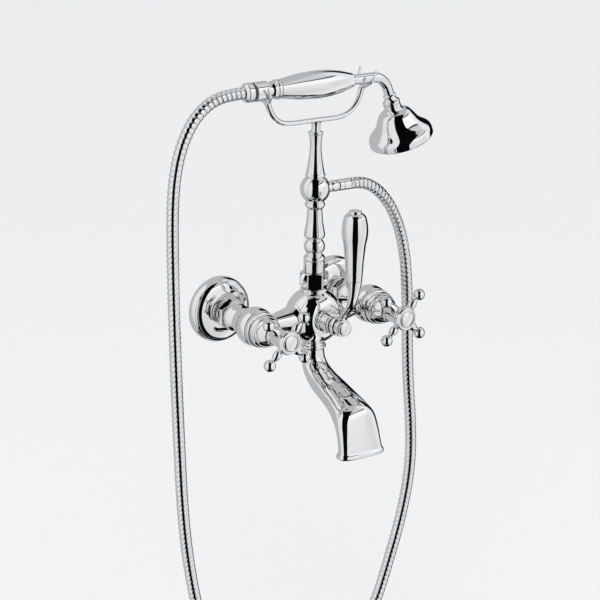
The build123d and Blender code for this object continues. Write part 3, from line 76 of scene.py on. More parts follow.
class Shape:
    """Closed shells gathered into one piece."""

    def __init__(self):
        self.points = []
        self.faces = []

    def add(self, points, faces):
        """Takes in one more shell."""
        base = len(self.points)
        self.points.extend([tuple(p) for p in points])
        self.faces.extend([tuple(base + i for i in face) for face in faces])

    def build(self, name, body, slot, nodes):
        """Makes the piece, which rides on a body and replaces the CAD nodes named."""
        mesh = bpy.data.meshes.new(name)
        mesh.from_pydata([[c * MM for c in p] for p in self.points], [], self.faces)
        mesh.validate()
        mesh.update()
        mesh.polygons.foreach_set("use_smooth", [True] * len(mesh.polygons))
        piece = bpy.data.objects.new(name, mesh)
        bpy.context.scene.collection.objects.link(piece)
        smooth_by_area(mesh)
        mesh.materials.append(FINISHES[slot])
        if body:
            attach(piece, body)
        if nodes:
            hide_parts(*nodes)
        return piece


def smooth_by_area(mesh):
    """Corner normals weighted by area, so that flats stay flat beside their small rounds."""
    count = len(mesh.vertices)
    normals = np.zeros((count, 3))
    face_normals = np.zeros(len(mesh.polygons) * 3)
    areas = np.zeros(len(mesh.polygons))
    mesh.polygons.foreach_get("normal", face_normals)
    mesh.polygons.foreach_get("area", areas)
    weighted = face_normals.reshape(-1, 3) * areas[:, None]
    loops = np.zeros(len(mesh.loops), int)
    mesh.loops.foreach_get("vertex_index", loops)
    totals = np.zeros(len(mesh.polygons), int)
    mesh.polygons.foreach_get("loop_total", totals)
    np.add.at(normals, loops, np.repeat(weighted, totals, axis=0))
    lengths = np.linalg.norm(normals, axis=1)
    lengths[lengths == 0] = 1.0
    mesh.normals_split_custom_set_from_vertices(normals / lengths[:, None])


ARC_STEP = 7.0


def arc(start, through, end):
    """Points of the arc after its start."""
    (ax, ay), (bx, by), (cx, cy) = start, through, end
    twice_area = 2 * (ax * (by - cy) + bx * (cy - ay) + cx * (ay - by))
    if abs(twice_area) < TINY:
        return [end]
    a2, b2, c2 = ax * ax + ay * ay, bx * bx + by * by, cx * cx + cy * cy
    centre_x = (a2 * (by - cy) + b2 * (cy - ay) + c2 * (ay - by)) / twice_area
    centre_y = (a2 * (cx - bx) + b2 * (ax - cx) + c2 * (bx - ax)) / twice_area
    radius = math.hypot(ax - centre_x, ay - centre_y)
    first = math.atan2(ay - centre_y, ax - centre_x)
    middle = math.atan2(by - centre_y, bx - centre_x)
    last = math.atan2(cy - centre_y, cx - centre_x)
    sweep = (last - first) % math.tau
    if (middle - first) % math.tau > sweep:
        sweep -= math.tau
    count = max(2, math.ceil(abs(math.degrees(sweep)) / ARC_STEP))
    points = []
    for i in range(1, count):
        angle = first + sweep * i / count
        points.append((centre_x + radius * math.cos(angle), centre_y + radius * math.sin(angle)))
    return points + [end]


def line(start, *steps, soft):
    """Closed outline from points and arcs (a pair: through, end), with its sharp corners rounded."""
    points = [start]
    for step in steps:
        if isinstance(step[0], tuple):
            points.extend(arc(points[-1], step[0], step[1]))
        else:
            points.append(step)
    if math.dist(points[0], points[-1]) < TINY:
        points.pop()
    return rounded(points, soft)


CORNER_STEP = 22.0
LONGEST_CUT = 0.45


def rounded(points, soft):
    """Replaces each corner sharper than one step with a small arc of a few steps."""
    result = []
    count = len(points)
    for i, here in enumerate(points):
        before, after = Vector(points[i - 1]), Vector(points[(i + 1) % count])
        corner = Vector(here)
        run_in, run_out = corner - before, after - corner
        if run_in.length < TINY or run_out.length < TINY:
            continue
        turn = run_in.angle(run_out)
        on_axis = here[0] < TINY
        if math.degrees(turn) < CORNER_STEP or on_axis:
            result.append(here)
            continue
        cut = min(soft * math.tan(turn / 2), LONGEST_CUT * run_in.length, LONGEST_CUT * run_out.length)
        p = corner - run_in.normalized() * cut
        q = corner + run_out.normalized() * cut
        steps = max(2, math.ceil(math.degrees(turn) / CORNER_STEP))
        for k in range(steps + 1):
            t = k / steps
            b = p * (1 - t) ** 2 + corner * 2 * t * (1 - t) + q * t * t
            result.append((b.x, b.y))
    return result


def basis(way):
    """Two directions square to a way, and the way at length 1."""
    way = np.array(way, float) / np.linalg.norm(way)
    nearly_upright = abs(way[2]) > 0.9
    side = np.cross(way, ALONG if nearly_upright else UP)
    side /= np.linalg.norm(side)
    return side, np.cross(way, side), way


TURN_SEGMENTS = 96


def turned(shape, origin, way, outline, segments=TURN_SEGMENTS):
    """Adds a shell turned about a line: the outline is (radius, station) round a closed loop."""
    side, other, way = basis(way)
    angles = [math.tau * k / segments for k in range(segments)]
    points, rings = [], []
    for radius, station in outline:
        if radius < TINY:
            rings.append([len(points)])
            points.append(origin + way * station)
            continue
        rings.append(list(range(len(points), len(points) + segments)))
        points.extend(
            origin + way * station + radius * (math.cos(a) * side + math.sin(a) * other) for a in angles
        )
    faces = []
    count = len(rings)
    for i in range(count):
        lower, upper = rings[i], rings[(i + 1) % count]
        if len(lower) == 1 and len(upper) == 1:
            continue
        for k in range(segments):
            n = (k + 1) % segments
            if len(lower) == 1:
                faces.append((lower[0], upper[n], upper[k]))
            elif len(upper) == 1:
                faces.append((lower[k], lower[n], upper[0]))
            else:
                faces.append((lower[k], lower[n], upper[n], upper[k]))
    area = sum(
        outline[i][0] * outline[(i + 1) % count][1] - outline[(i + 1) % count][0] * outline[i][1]
        for i in range(count)
    )
    if area < 0:
        faces = [face[::-1] for face in faces]
    shape.add(points, faces)


def tube(shape, rings):
    """Adds a capped shell through rings of points that all have the same count."""
    count = len(rings[0])
    points = [p for ring in rings for p in ring]
    faces = []
    for i in range(len(rings) - 1):
        for k in range(count):
            n = (k + 1) % count
            a, b = i * count, (i + 1) * count
            faces.append((a + k, a + n, b + n, b + k))
    faces.append(tuple(range(count))[::-1])
    last = (len(rings) - 1) * count
    faces.append(tuple(range(last, last + count)))
    shape.add(points, faces)


def smooth_line(points, per_run):
    """Points of a smooth curve (centripetal) through the given ones, a few for each run between two."""
    p = [np.array(q, float) for q in points]
    p = [2 * p[0] - p[1]] + p + [2 * p[-1] - p[-2]]
    out = []
    for i in range(1, len(p) - 2):
        t0 = 0.0
        t1 = t0 + np.linalg.norm(p[i] - p[i - 1]) ** 0.5
        t2 = t1 + np.linalg.norm(p[i + 1] - p[i]) ** 0.5
        t3 = t2 + np.linalg.norm(p[i + 2] - p[i + 1]) ** 0.5
        for k in range(per_run):
            t = t1 + (t2 - t1) * k / per_run
            a1 = (t1 - t) / (t1 - t0) * p[i - 1] + (t - t0) / (t1 - t0) * p[i]
            a2 = (t2 - t) / (t2 - t1) * p[i] + (t - t1) / (t2 - t1) * p[i + 1]
            a3 = (t3 - t) / (t3 - t2) * p[i + 1] + (t - t2) / (t3 - t2) * p[i + 2]
            b1 = (t2 - t) / (t2 - t0) * a1 + (t - t0) / (t2 - t0) * a2
            b2 = (t3 - t) / (t3 - t1) * a2 + (t - t1) / (t3 - t1) * a3
            out.append((t2 - t) / (t2 - t1) * b1 + (t - t1) / (t2 - t1) * b2)
    out.append(p[-2])
    return out


def section(centre, side, other, half_width, half_depth, squareness, count):
    """A ring between an ellipse (2) and a rounded rectangle."""
    ring = []
    for k in range(count):
        a = math.tau * k / count
        c, s = math.cos(a), math.sin(a)
        u = math.copysign(half_width * abs(c) ** (2 / squareness), c)
        v = math.copysign(half_depth * abs(s) ** (2 / squareness), s)
        ring.append(centre + u * side + v * other)
    return ring


def swept(shape, points, sizes, across, squareness, count):
    """Adds a rod along points, with (half width, half depth) at each; across stays the width's way."""
    rings = []
    last = len(points) - 1
    for i, centre in enumerate(points):
        along = points[min(i + 1, last)] - points[max(i - 1, 0)]
        along = along / np.linalg.norm(along)
        side = across - along * np.dot(across, along)
        side /= np.linalg.norm(side)
        rings.append(section(centre, side, np.cross(along, side), *sizes[i], squareness, count))
    tube(shape, rings)


FLAT_POINTS = 9
CORNER_RUNS = 4
CORNER_PULL = 14.0


def hexagon(shape, origin, way, flats, outline, corner, turn=0.0):
    """Adds a six-sided shell; the outline's radii limit it, as the turned chamfer of a nut does."""
    side, other, way = basis(way)
    half = flats / 2
    sixth = math.pi / 3
    spread = math.atan((half * math.tan(sixth / 2) - corner) / half)
    gap = sixth - 2 * spread
    angles = []
    for k in range(6):
        base = k * sixth
        angles.extend(base - spread + 2 * spread * i / (FLAT_POINTS - 1) for i in range(FLAT_POINTS))
        angles.extend(base + spread + gap * i / CORNER_RUNS for i in range(1, CORNER_RUNS))
    rings = []
    for radius, station in outline:
        ring = []
        for a in angles:
            local = (a + sixth / 2) % sixth - sixth / 2
            past_flat = max(abs(local) - spread, 0.0)
            edge = half / math.cos(local) - CORNER_PULL * past_flat**1.5
            r = min(edge, radius)
            ring.append(
                origin + way * station + r * (math.cos(a + turn) * side + math.sin(a + turn) * other)
            )
        rings.append(ring)
    count = len(angles)
    points = [p for ring in rings for p in ring]
    faces = []
    for i in range(len(rings)):
        a, b = i * count, (i + 1) % len(rings) * count
        for k in range(count):
            n = (k + 1) % count
            faces.append((a + k, a + n, b + n, b + k))
    shape.add(points, faces)


# Materials

def nodes_of(name):
    """A new material with one shader, its tree and the shader."""
    material = bpy.data.materials.new(name)
    material.use_nodes = True
    tree = material.node_tree
    tree.nodes.clear()
    out = tree.nodes.new("ShaderNodeOutputMaterial")
    shader = tree.nodes.new("ShaderNodeBsdfPrincipled")
    tree.links.new(shader.outputs["BSDF"], out.inputs["Surface"])
    return material, tree, shader


# Where most of a noise's values lie
NOISE_LOW, NOISE_HIGH = 0.3, 0.7


def noise_on(tree, scale, detail, low, high):
    """A value between low and high that wanders over the surface, and the noise behind it."""
    place = tree.nodes.new("ShaderNodeTexCoord")
    noise = tree.nodes.new("ShaderNodeTexNoise")
    noise.inputs["Scale"].default_value = scale
    noise.inputs["Detail"].default_value = detail
    tree.links.new(place.outputs["Object"], noise.inputs["Vector"])
    remap = tree.nodes.new("ShaderNodeMapRange")
    remap.inputs["From Min"].default_value = NOISE_LOW
    remap.inputs["From Max"].default_value = NOISE_HIGH
    remap.inputs["To Min"].default_value = low
    remap.inputs["To Max"].default_value = high
    tree.links.new(noise.outputs["Fac"], remap.inputs["Value"])
    return remap.outputs["Result"], noise


def tint(tree, shader, tone, light, dark):
    """Lets the base colour wander between two."""
    blend = tree.nodes.new("ShaderNodeMix")
    blend.data_type = "RGBA"
    blend.inputs["A"].default_value = (*light, 1)
    blend.inputs["B"].default_value = (*dark, 1)
    tree.links.new(tone, blend.inputs["Factor"])
    tree.links.new(blend.outputs["Result"], shader.inputs["Base Color"])


BUMP_HEIGHT = 0.0002


def uneven(tree, shader, noise, strength):
    """Lets the surface rise and fall with a noise."""
    lift = tree.nodes.new("ShaderNodeBump")
    lift.inputs["Strength"].default_value = strength
    lift.inputs["Distance"].default_value = BUMP_HEIGHT
    tree.links.new(noise.outputs["Fac"], lift.inputs["Height"])
    tree.links.new(lift.outputs["Normal"], shader.inputs["Normal"])


def metal(name, color, roughness, wander, grain, bump):
    """Polished metal: its colour and gloss wander a little, over a faint waviness."""
    material, tree, shader = nodes_of(name)
    shader.inputs["Metallic"].default_value = 1.0
    value, _ = noise_on(tree, 55.0, 3.0, roughness, roughness + wander)
    tree.links.new(value, shader.inputs["Roughness"])
    tone, _ = noise_on(tree, 24.0, 2.0, 0.0, 1.0)
    tint(tree, shader, tone, color, [c * 0.965 for c in color])
    _, fine = noise_on(tree, grain, 2.0, 0.0, 1.0)
    uneven(tree, shader, fine, bump)
    return material


def coated(name, color, roughness, grain):
    """Ceramic or rubber with a clear sheen and a slight unevenness."""
    material, tree, shader = nodes_of(name)
    tone, fine = noise_on(tree, grain, 3.0, 0.0, 1.0)
    tint(tree, shader, tone, color, [c * 0.95 for c in color])
    rough, _ = noise_on(tree, 80.0, 2.0, roughness, roughness + 0.04)
    tree.links.new(rough, shader.inputs["Roughness"])
    shader.inputs["Coat Weight"].default_value = 0.6
    shader.inputs["Coat Roughness"].default_value = 0.03
    uneven(tree, shader, fine, 0.03)
    return material


FINISHES = {
    "chrome": metal("chrome", (0.93, 0.935, 0.94), 0.018, 0.022, 260.0, 0.012),
    "hose_metal": metal("hose_metal", (0.90, 0.905, 0.91), 0.03, 0.03, 900.0, 0.02),
    "spray_face": metal("spray_face", (0.90, 0.905, 0.91), 0.06, 0.05, 700.0, 0.03),
    "brass": metal("brass", (0.80, 0.62, 0.30), 0.22, 0.12, 1200.0, 0.12),
    "screw_steel": metal("screw_steel", (0.60, 0.61, 0.62), 0.25, 0.12, 1500.0, 0.12),
    "index_face": metal("index_face", (0.94, 0.945, 0.95), 0.015, 0.02, 300.0, 0.01),
    "ceramic": coated("ceramic", (0.88, 0.87, 0.83), 0.2, 300.0),
    "seal_rubber": coated("seal_rubber", (0.035, 0.035, 0.037), 0.5, 900.0),
}

slot_of = {row["node"]: row["material_slot"] for row in frame["record"]["subparts"]}
for name, slot in slot_of.items():
    node = frame["nodes"][name]
    node.data.materials.clear()
    node.data.materials.append(FINISHES[slot])


# Camera, fitted to the photograph: place, angles in radians and focal length in pixels

CAMERA_PLACE = (-1.1229, -1.6911, 0.6441)
YAW, DIP, ROLL = 0.59986, 0.30513, 0.01006
FOCAL_PIXELS = 1917.47
PICTURE_PIXELS = 600
SENSOR_WIDTH = 36.0
look = Vector((math.sin(YAW) * math.cos(DIP), math.cos(YAW) * math.cos(DIP), -math.sin(DIP)))
flat_right = Vector((math.cos(YAW), -math.sin(YAW), 0))
flat_up = flat_right.cross(look)
right = math.cos(ROLL) * flat_right + math.sin(ROLL) * flat_up
up = math.cos(ROLL) * flat_up - math.sin(ROLL) * flat_right
camera_data = bpy.data.cameras.new("camera")
camera_data.sensor_width = SENSOR_WIDTH
camera_data.lens = SENSOR_WIDTH * FOCAL_PIXELS / PICTURE_PIXELS
camera_data.clip_end = 100.0
camera = bpy.data.objects.new("camera", camera_data)
camera_turn = Matrix((right, up, -look)).transposed().to_4x4()
camera.matrix_world = Matrix.Translation(CAMERA_PLACE) @ camera_turn
bpy.context.scene.collection.objects.link(camera)
bpy.context.scene.camera = camera
bpy.context.scene.view_settings.view_transform = "Standard"


# Studio: pale floor, white world, and the dark gaps between soft boxes that metal shows

FLOOR_HEIGHT = -0.452
FLOOR_HALF = 40.0
HORIZON = (0.83, 0.83, 0.835)
ROOM_LIGHT = (0.92, 0.92, 0.925)
SCREEN_GAMMA = 2.2
CHROME_SHARE = 0.93


def pale_floor():
    """Wide floor under the hose, which reflections don't show."""
    corners = ((-1, -1), (1, -1), (1, 1), (-1, 1))
    mesh = bpy.data.meshes.new("floor")
    points = [(x * FLOOR_HALF, y * FLOOR_HALF, FLOOR_HEIGHT) for x, y in corners]
    mesh.from_pydata(points, [], [(0, 1, 2, 3)])
    floor = bpy.data.objects.new("floor", mesh)
    bpy.context.scene.collection.objects.link(floor)
    paint, tree, shader = nodes_of("floor_paint")
    tone, _ = noise_on(tree, 40.0, 2.0, 0.0, 1.0)
    tint(tree, shader, tone, (0.93, 0.93, 0.934), (0.92, 0.92, 0.925))
    shader.inputs["Roughness"].default_value = 0.9
    mesh.materials.append(paint)
    floor.visible_glossy = False


def studio():
    """World: plain white light, and for reflections the soft boxes with dark gaps between them."""
    world = bpy.data.worlds.new("studio")
    bpy.context.scene.world = world
    world.use_nodes = True
    tree = world.node_tree
    tree.nodes.clear()
    out = tree.nodes.new("ShaderNodeOutputWorld")
    background = tree.nodes.new("ShaderNodeBackground")
    tree.links.new(background.outputs["Background"], out.inputs["Surface"])
    place = tree.nodes.new("ShaderNodeTexCoord")

    def part(way):
        """How far a ray goes along a way: -1 to 1."""
        dot = tree.nodes.new("ShaderNodeVectorMath")
        dot.operation = "DOT_PRODUCT"
        dot.inputs[1].default_value = way
        tree.links.new(place.outputs["Generated"], dot.inputs[0])
        return dot.outputs["Value"]

    def ramp(value, *stops):
        """Greys or shares at stops between -1 and 1."""
        remap = tree.nodes.new("ShaderNodeMapRange")
        remap.inputs["From Min"].default_value = -1.0
        remap.inputs["From Max"].default_value = 1.0
        tree.links.new(value, remap.inputs["Value"])
        node = tree.nodes.new("ShaderNodeValToRGB")
        elements = node.color_ramp.elements
        while len(elements) < len(stops):
            elements.new(0.5)
        for element, (at, tone) in zip(elements, stops):
            element.position = (at + 1.0) / 2
            element.color = (tone, tone, tone * 1.006, 1)
        tree.links.new(remap.outputs["Result"], node.inputs["Fac"])
        return node.outputs["Color"]

    def mix(factor, a, b):
        """Colour a where the factor is 0 and b where it is 1; each is a colour or a socket."""
        node = tree.nodes.new("ShaderNodeMix")
        node.data_type = "RGBA"
        tree.links.new(factor, node.inputs["Factor"])
        for socket, value in ((node.inputs["A"], a), (node.inputs["B"], b)):
            if isinstance(value, tuple):
                socket.default_value = (*value, 1)
            else:
                tree.links.new(value, socket)
        return node.outputs["Result"]

    def grey(shown):
        """Light that a reflection shows as the given grey."""
        return shown**SCREEN_GAMMA / CHROME_SHARE

    across = part(tuple(flat_right))
    height = part((0, 0, 1))
    onward = part(tuple(look))
    white, pale, mid = ((grey(v), grey(v + 0.003), grey(v + 0.010)) for v in (0.90, 0.82, 0.70))
    black = (0.002, 0.002, 0.0025)
    none = (0.0, 0.0, 0.0)

    # Behind the camera: a large box on the left and one on the right, with a dark gap between them
    left_box = ramp(height, (-1.0, grey(0.80)), (-0.40, grey(0.85)), (0.0, grey(0.88)), (0.5, grey(0.90)))
    right_box = ramp(
        height, (-1.0, grey(0.78)), (-0.50, grey(0.84)), (0.0, grey(0.89)), (0.22, 0.88), (0.40, 1.03),
        (0.635, 1.04), (0.65, grey(0.10)), (0.70, grey(0.10)), (0.73, grey(0.78)), (1.0, grey(0.82)),
    )
    right_side = ramp(across, (0.43, 0.0), (0.445, 1.0))
    far_right = ramp(across, (0.93, 0.0), (0.97, 0.7))
    boxes = mix(right_side, left_box, mix(far_right, right_box, pale))
    gap = ramp(across, (-0.37, 0.0), (-0.355, 1.0), (0.43, 1.0), (0.445, 0.0))
    past_top = ramp(onward, (-0.42, 0.0), (-0.36, 1.0))
    above = ramp(height, (0.0, 0.0), (0.1, 1.0))
    behind = mix(gap, boxes, mix(mix(above, none, past_top), black, mid))

    # In front of the camera: a backdrop that is lighter on the right, with a dark rim round it there
    turned_right = ramp(across, (0.28, 0.0), (0.46, 1.0))
    rim = ramp(onward, (0.44, 0.0), (0.50, 1.0), (0.94, 1.0), (0.98, 0.0))
    rim_side = ramp(across, (0.10, 0.0), (0.20, 1.0))
    backdrop = mix(mix(rim, none, rim_side), mix(turned_right, mid, white), black)

    halves = ramp(onward, (-0.08, 0.0), (0.16, 1.0))
    beneath = ramp(height, (-0.86, 1.0), (-0.82, 0.0))
    whole = mix(beneath, mix(halves, behind, backdrop), black)
    rays = tree.nodes.new("ShaderNodeLightPath")
    lit_room = mix(rays.outputs["Is Camera Ray"], ROOM_LIGHT, HORIZON)
    seen = mix(rays.outputs["Is Glossy Ray"], lit_room, whole)
    tree.links.new(seen, background.inputs["Color"])
    background.inputs["Strength"].default_value = 1.0


LAMP_PLACE = Vector((-0.9, -1.3, 1.6))
LAMP_AIM = Vector((0, -0.08, 0))


def soft_lamp():
    """One large lamp on the upper left, which reflections don't show."""
    data = bpy.data.lights.new("soft_lamp", "AREA")
    data.shape = "RECTANGLE"
    data.size = 1.6
    data.size_y = 1.2
    data.energy = 9.0
    lamp = bpy.data.objects.new("soft_lamp", data)
    lamp.location = LAMP_PLACE
    lamp.rotation_euler = (LAMP_PLACE - LAMP_AIM).to_track_quat("Z", "Y").to_euler()
    bpy.context.scene.collection.objects.link(lamp)
    lamp.visible_glossy = False


pale_floor()
studio()
soft_lamp()


# Turned pieces

BEND_STEPS = 7


def bend(start, corner, end):
    """Points, after start, of a blend that leaves start and reaches end along their lines to the corner."""
    a, b, c = np.array(start, float), np.array(corner, float), np.array(end, float)
    shares = [k / BEND_STEPS for k in range(1, BEND_STEPS + 1)]
    return [tuple(a * (1 - t) ** 2 + b * 2 * t * (1 - t) + c * t * t) for t in shares]


def lathe(name, body, slot, nodes, origin, way, outline, segments=TURN_SEGMENTS):
    """Makes a piece of one turned shell."""
    shape = Shape()
    turned(shape, origin, way, outline, segments)
    return shape.build(name, body, slot, nodes)


def dome(rim_r, rim, height):
    """Through point and top of a round dome on a rim."""
    ball = (rim_r**2 + height**2) / (2 * height)
    half = math.asin(rim_r / ball) / 2
    return ((ball * math.sin(half), rim + height - ball + ball * math.cos(half)), (0, rim + height))


def escutcheon(side, x):
    """Domed wall rose with a stepped rim."""
    outline = line(
        (36.5, 0), (36.5, 2.0), ((36.1, 6.2), (34.6, 10.0)), (34.0, 10.1), ((31.6, 12.5), (28.2, 14.2)),
        ((23.6, 15.5), (19.0, 16.0)), (13.4, 16.2), (13.4, 14.7), (18.6, 14.5), ((23.0, 14.0), (27.4, 12.8)),
        ((30.8, 11.1), (32.9, 8.5)), ((34.5, 5.4), (35.0, 2.0)), (35.0, 0), soft=0.4,
    )
    lathe(f"{side}_rose_shell", "root", "chrome", [f"{side}_escutcheon"], spot(x, 0, 0), OUT, outline, 144)


def union_nut(side, x):
    """Hexagon with a round collar towards the wall."""
    shape = Shape()
    origin = spot(x, 0, 0)
    outline = line((13.4, 18.0), (13.9, 18.0), ((14.6, 20.8), (13.8, 23.6)), (13.4, 24.2), soft=0.4)
    turned(shape, origin, OUT, outline)
    outline = line(
        (10.2, 24.0), (15.0, 24.0), ((16.4, 24.3), (17.32, 24.9)), (17.32, 32.2),
        ((16.4, 33.2), (15.0, 33.6)), (13.9, 33.7), (10.2, 33.7), soft=0.2,
    )
    hexagon(shape, origin, OUT, 30.0, outline, corner=0.6)
    shape.build(f"{side}_union_nut_hex", "root", "chrome", [f"{side}_union_nut"])


def inlet_tail(side, x):
    """Nose between the union nut and the body."""
    outline = line(
        (9.0, 33.4), (10.0, 33.4), (10.0, 34.2), (15.0, 34.2), ((15.8, 38.7), (14.9, 43.2)),
        ((13.2, 46.6), (12.0, 50.4)), (12.0, 50.6), (9.0, 50.6), soft=0.6,
    )
    lathe(f"{side}_inlet_nose", "root", "chrome", [f"{side}_inlet_tail"], spot(x, 0, 0), OUT, outline)


def mixer_body():
    """Ball, boss, side arms with their blends, valve balls, column seat and spout foot."""
    shape = Shape()
    outline = line(
        (0, REACH - 31.0), ((31.0, REACH), (27.3, REACH + 14.7)), (26.6, REACH + 15.4),
        ((22.4, REACH + 20.4), (15.6, REACH + 23.9)), (15.0, REACH + 24.0), (0, REACH + 24.0), soft=0.5,
    )
    turned(shape, spot(0, 0, 0), OUT, outline, 144)
    half = [(9.0, -66.0), (11.0, -57.1), *bend((11.0, -57.1), (8.45, -55.5), (9.2, -52.2))]
    half += [(13.5, -33.1), *bend((13.5, -33.1), (14.77, -27.5), (17.5, -25.6)), (17.5, -20.0)]
    arms = [(0, -66.0), *half, *((r, -x) for r, x in half[::-1]), (0, 66.0)]
    turned(shape, spot(0, REACH, 0), ALONG, arms)
    for sign in SIDES.values():
        outline = line(
            (0, 50.7), (13.4, 50.7), (13.4, 58.0), ((14.0, 59.6), (15.4, 61.1)), ((21.0, REACH), (19.16, 84.0)),
            (0, 84.0), soft=0.5,
        )
        turned(shape, spot(sign * VALVE_X, 0, 0), OUT, outline, 128)
    seat = line(
        (0, 20.0), (17.0, 20.0), (15.4, 26.4), ((13.2, 26.8), (13.3, 27.2)), ((14.7, 28.9), (13.2, 31.0)),
        (12.0, 31.2), (0, 31.2), soft=0.3,
    )
    turned(shape, spot(0, REACH, 0), UP, seat)
    foot = [(0, -36.4), (12.0, -36.4), *arc((12.0, -36.4), (14.0, -34.3), (12.2, -32.2))]
    foot += [(12.0, -31.8), *bend((12.0, -31.8), (11.9, -29.4), (16.2, -26.4)), (16.2, -20.0), (0, -20.0)]
    turned(shape, spot(0, REACH, 0), UP, foot)
    shape.build("mixer_body_cast", "root", "chrome", ["mixer_body"])


def bonnet(side, x):
    """Stepped cover over the valve."""
    outline = line(
        (7.3, 84.1), (18.7, 84.1), ((19.5, 87.9), (18.9, 91.4)), (17.7, 92.0), (17.7, 92.6),
        (18.1, 93.0), ((17.7, 96.6), (16.5, 99.6)), (16.1, 99.9), ((14.2, 105.4), (10.8, 110.6)),
        (10.4, 111.0), (7.3, 111.0), soft=0.35,
    )
    lathe(f"{side}_bonnet_dome", "root", "chrome", [f"{side}_bonnet"], spot(x, 0, 0), OUT, outline, 128)


# Reach of the handle's foot, of its arms and of its front; the balls' place on an arm and their
# radius, the radius of the neck before a ball, and the arms' angle at rest
HANDLE = 111.65
ARM_REACH = HANDLE + 24.0
HUB_FRONT = HANDLE + 32.2
ARM_BALL = 30.8
ARM_BALL_R = 6.4
ARM_NECK_R = 2.2
ARM_TURN = 47.0


def handle_hub(side, x):
    """Waisted hub with a cup for the index cap."""
    outline = line(
        (7.9, HANDLE), (9.8, HANDLE), ((10.3, HANDLE + 2.3), (9.8, HANDLE + 4.5)), (9.3, HANDLE + 5.0),
        (9.3, HANDLE + 6.2), ((9.15, HANDLE + 10.6), (9.6, HANDLE + 16.0)),
        ((11.0, ARM_REACH), (10.0, ARM_REACH + 4.2)), (10.4, ARM_REACH + 4.8), (12.5, ARM_REACH + 4.9),
        ((12.9, ARM_REACH + 6.0), (12.5, HUB_FRONT - 1.3)), (11.9, HUB_FRONT - 0.4),
        (10.4, HUB_FRONT), (10.0, HUB_FRONT - 0.4), (9.5, HUB_FRONT - 0.4), (9.1, HUB_FRONT),
        (8.5, HUB_FRONT), (8.5, HUB_FRONT - 4.6), (3.9, HUB_FRONT - 4.6), (3.9, HANDLE + 23.2),
        (5.0, HANDLE + 18.0), (5.0, HANDLE + 8.0), (7.9, HANDLE + 7.2), soft=0.3,
    )
    body = f"{side}_handle"
    lathe(f"{side}_hub_turned", body, "chrome", [f"{side}_handle_hub"], spot(x, 0, 0), OUT, outline, 128)


def handle_arms(side, x):
    """Four turned arms with ball ends."""
    shape = Shape()
    neck_end = ARM_BALL - math.sqrt(ARM_BALL_R**2 - ARM_NECK_R**2)
    outline = line(
        (0, 8.0), (2.5, 8.0), (2.5, 10.2), (3.3, 10.4), (3.4, 11.6), (3.0, 12.2),
        ((4.5, 16.0), (3.8, 21.0)), ((2.75, 23.6), (2.25, neck_end)), ((ARM_BALL_R, ARM_BALL), (2.6, 36.64)),
        (2.3, 37.0), (0, 37.1), soft=0.25,
    )
    for step in range(4):
        angle = math.radians(ARM_TURN + 90 * step)
        way = math.cos(angle) * ALONG + math.sin(angle) * UP
        turned(shape, spot(x, ARM_REACH, 0), way, outline, 48)
    shape.build(f"{side}_arms_turned", f"{side}_handle", "chrome", [f"{side}_handle_arms"])


def index_cap(side, x):
    """Plain domed disc in the hub."""
    base = HUB_FRONT - 4.5
    rim = base + 4.3
    outline = line((0, base), (8.3, base), (8.4, rim), dome(8.4, rim, 2.0), soft=1.2)
    node = f"{side}_index_cap"
    lathe(f"{side}_index_dome", f"{side}_handle", slot_of[node], [node], spot(x, 0, 0), OUT, outline)


for side, sign in SIDES.items():
    x = sign * VALVE_X
    for maker in (escutcheon, union_nut, inlet_tail, bonnet, handle_hub, handle_arms, index_cap):
        maker(side, x)
mixer_body()


# Diverter lever

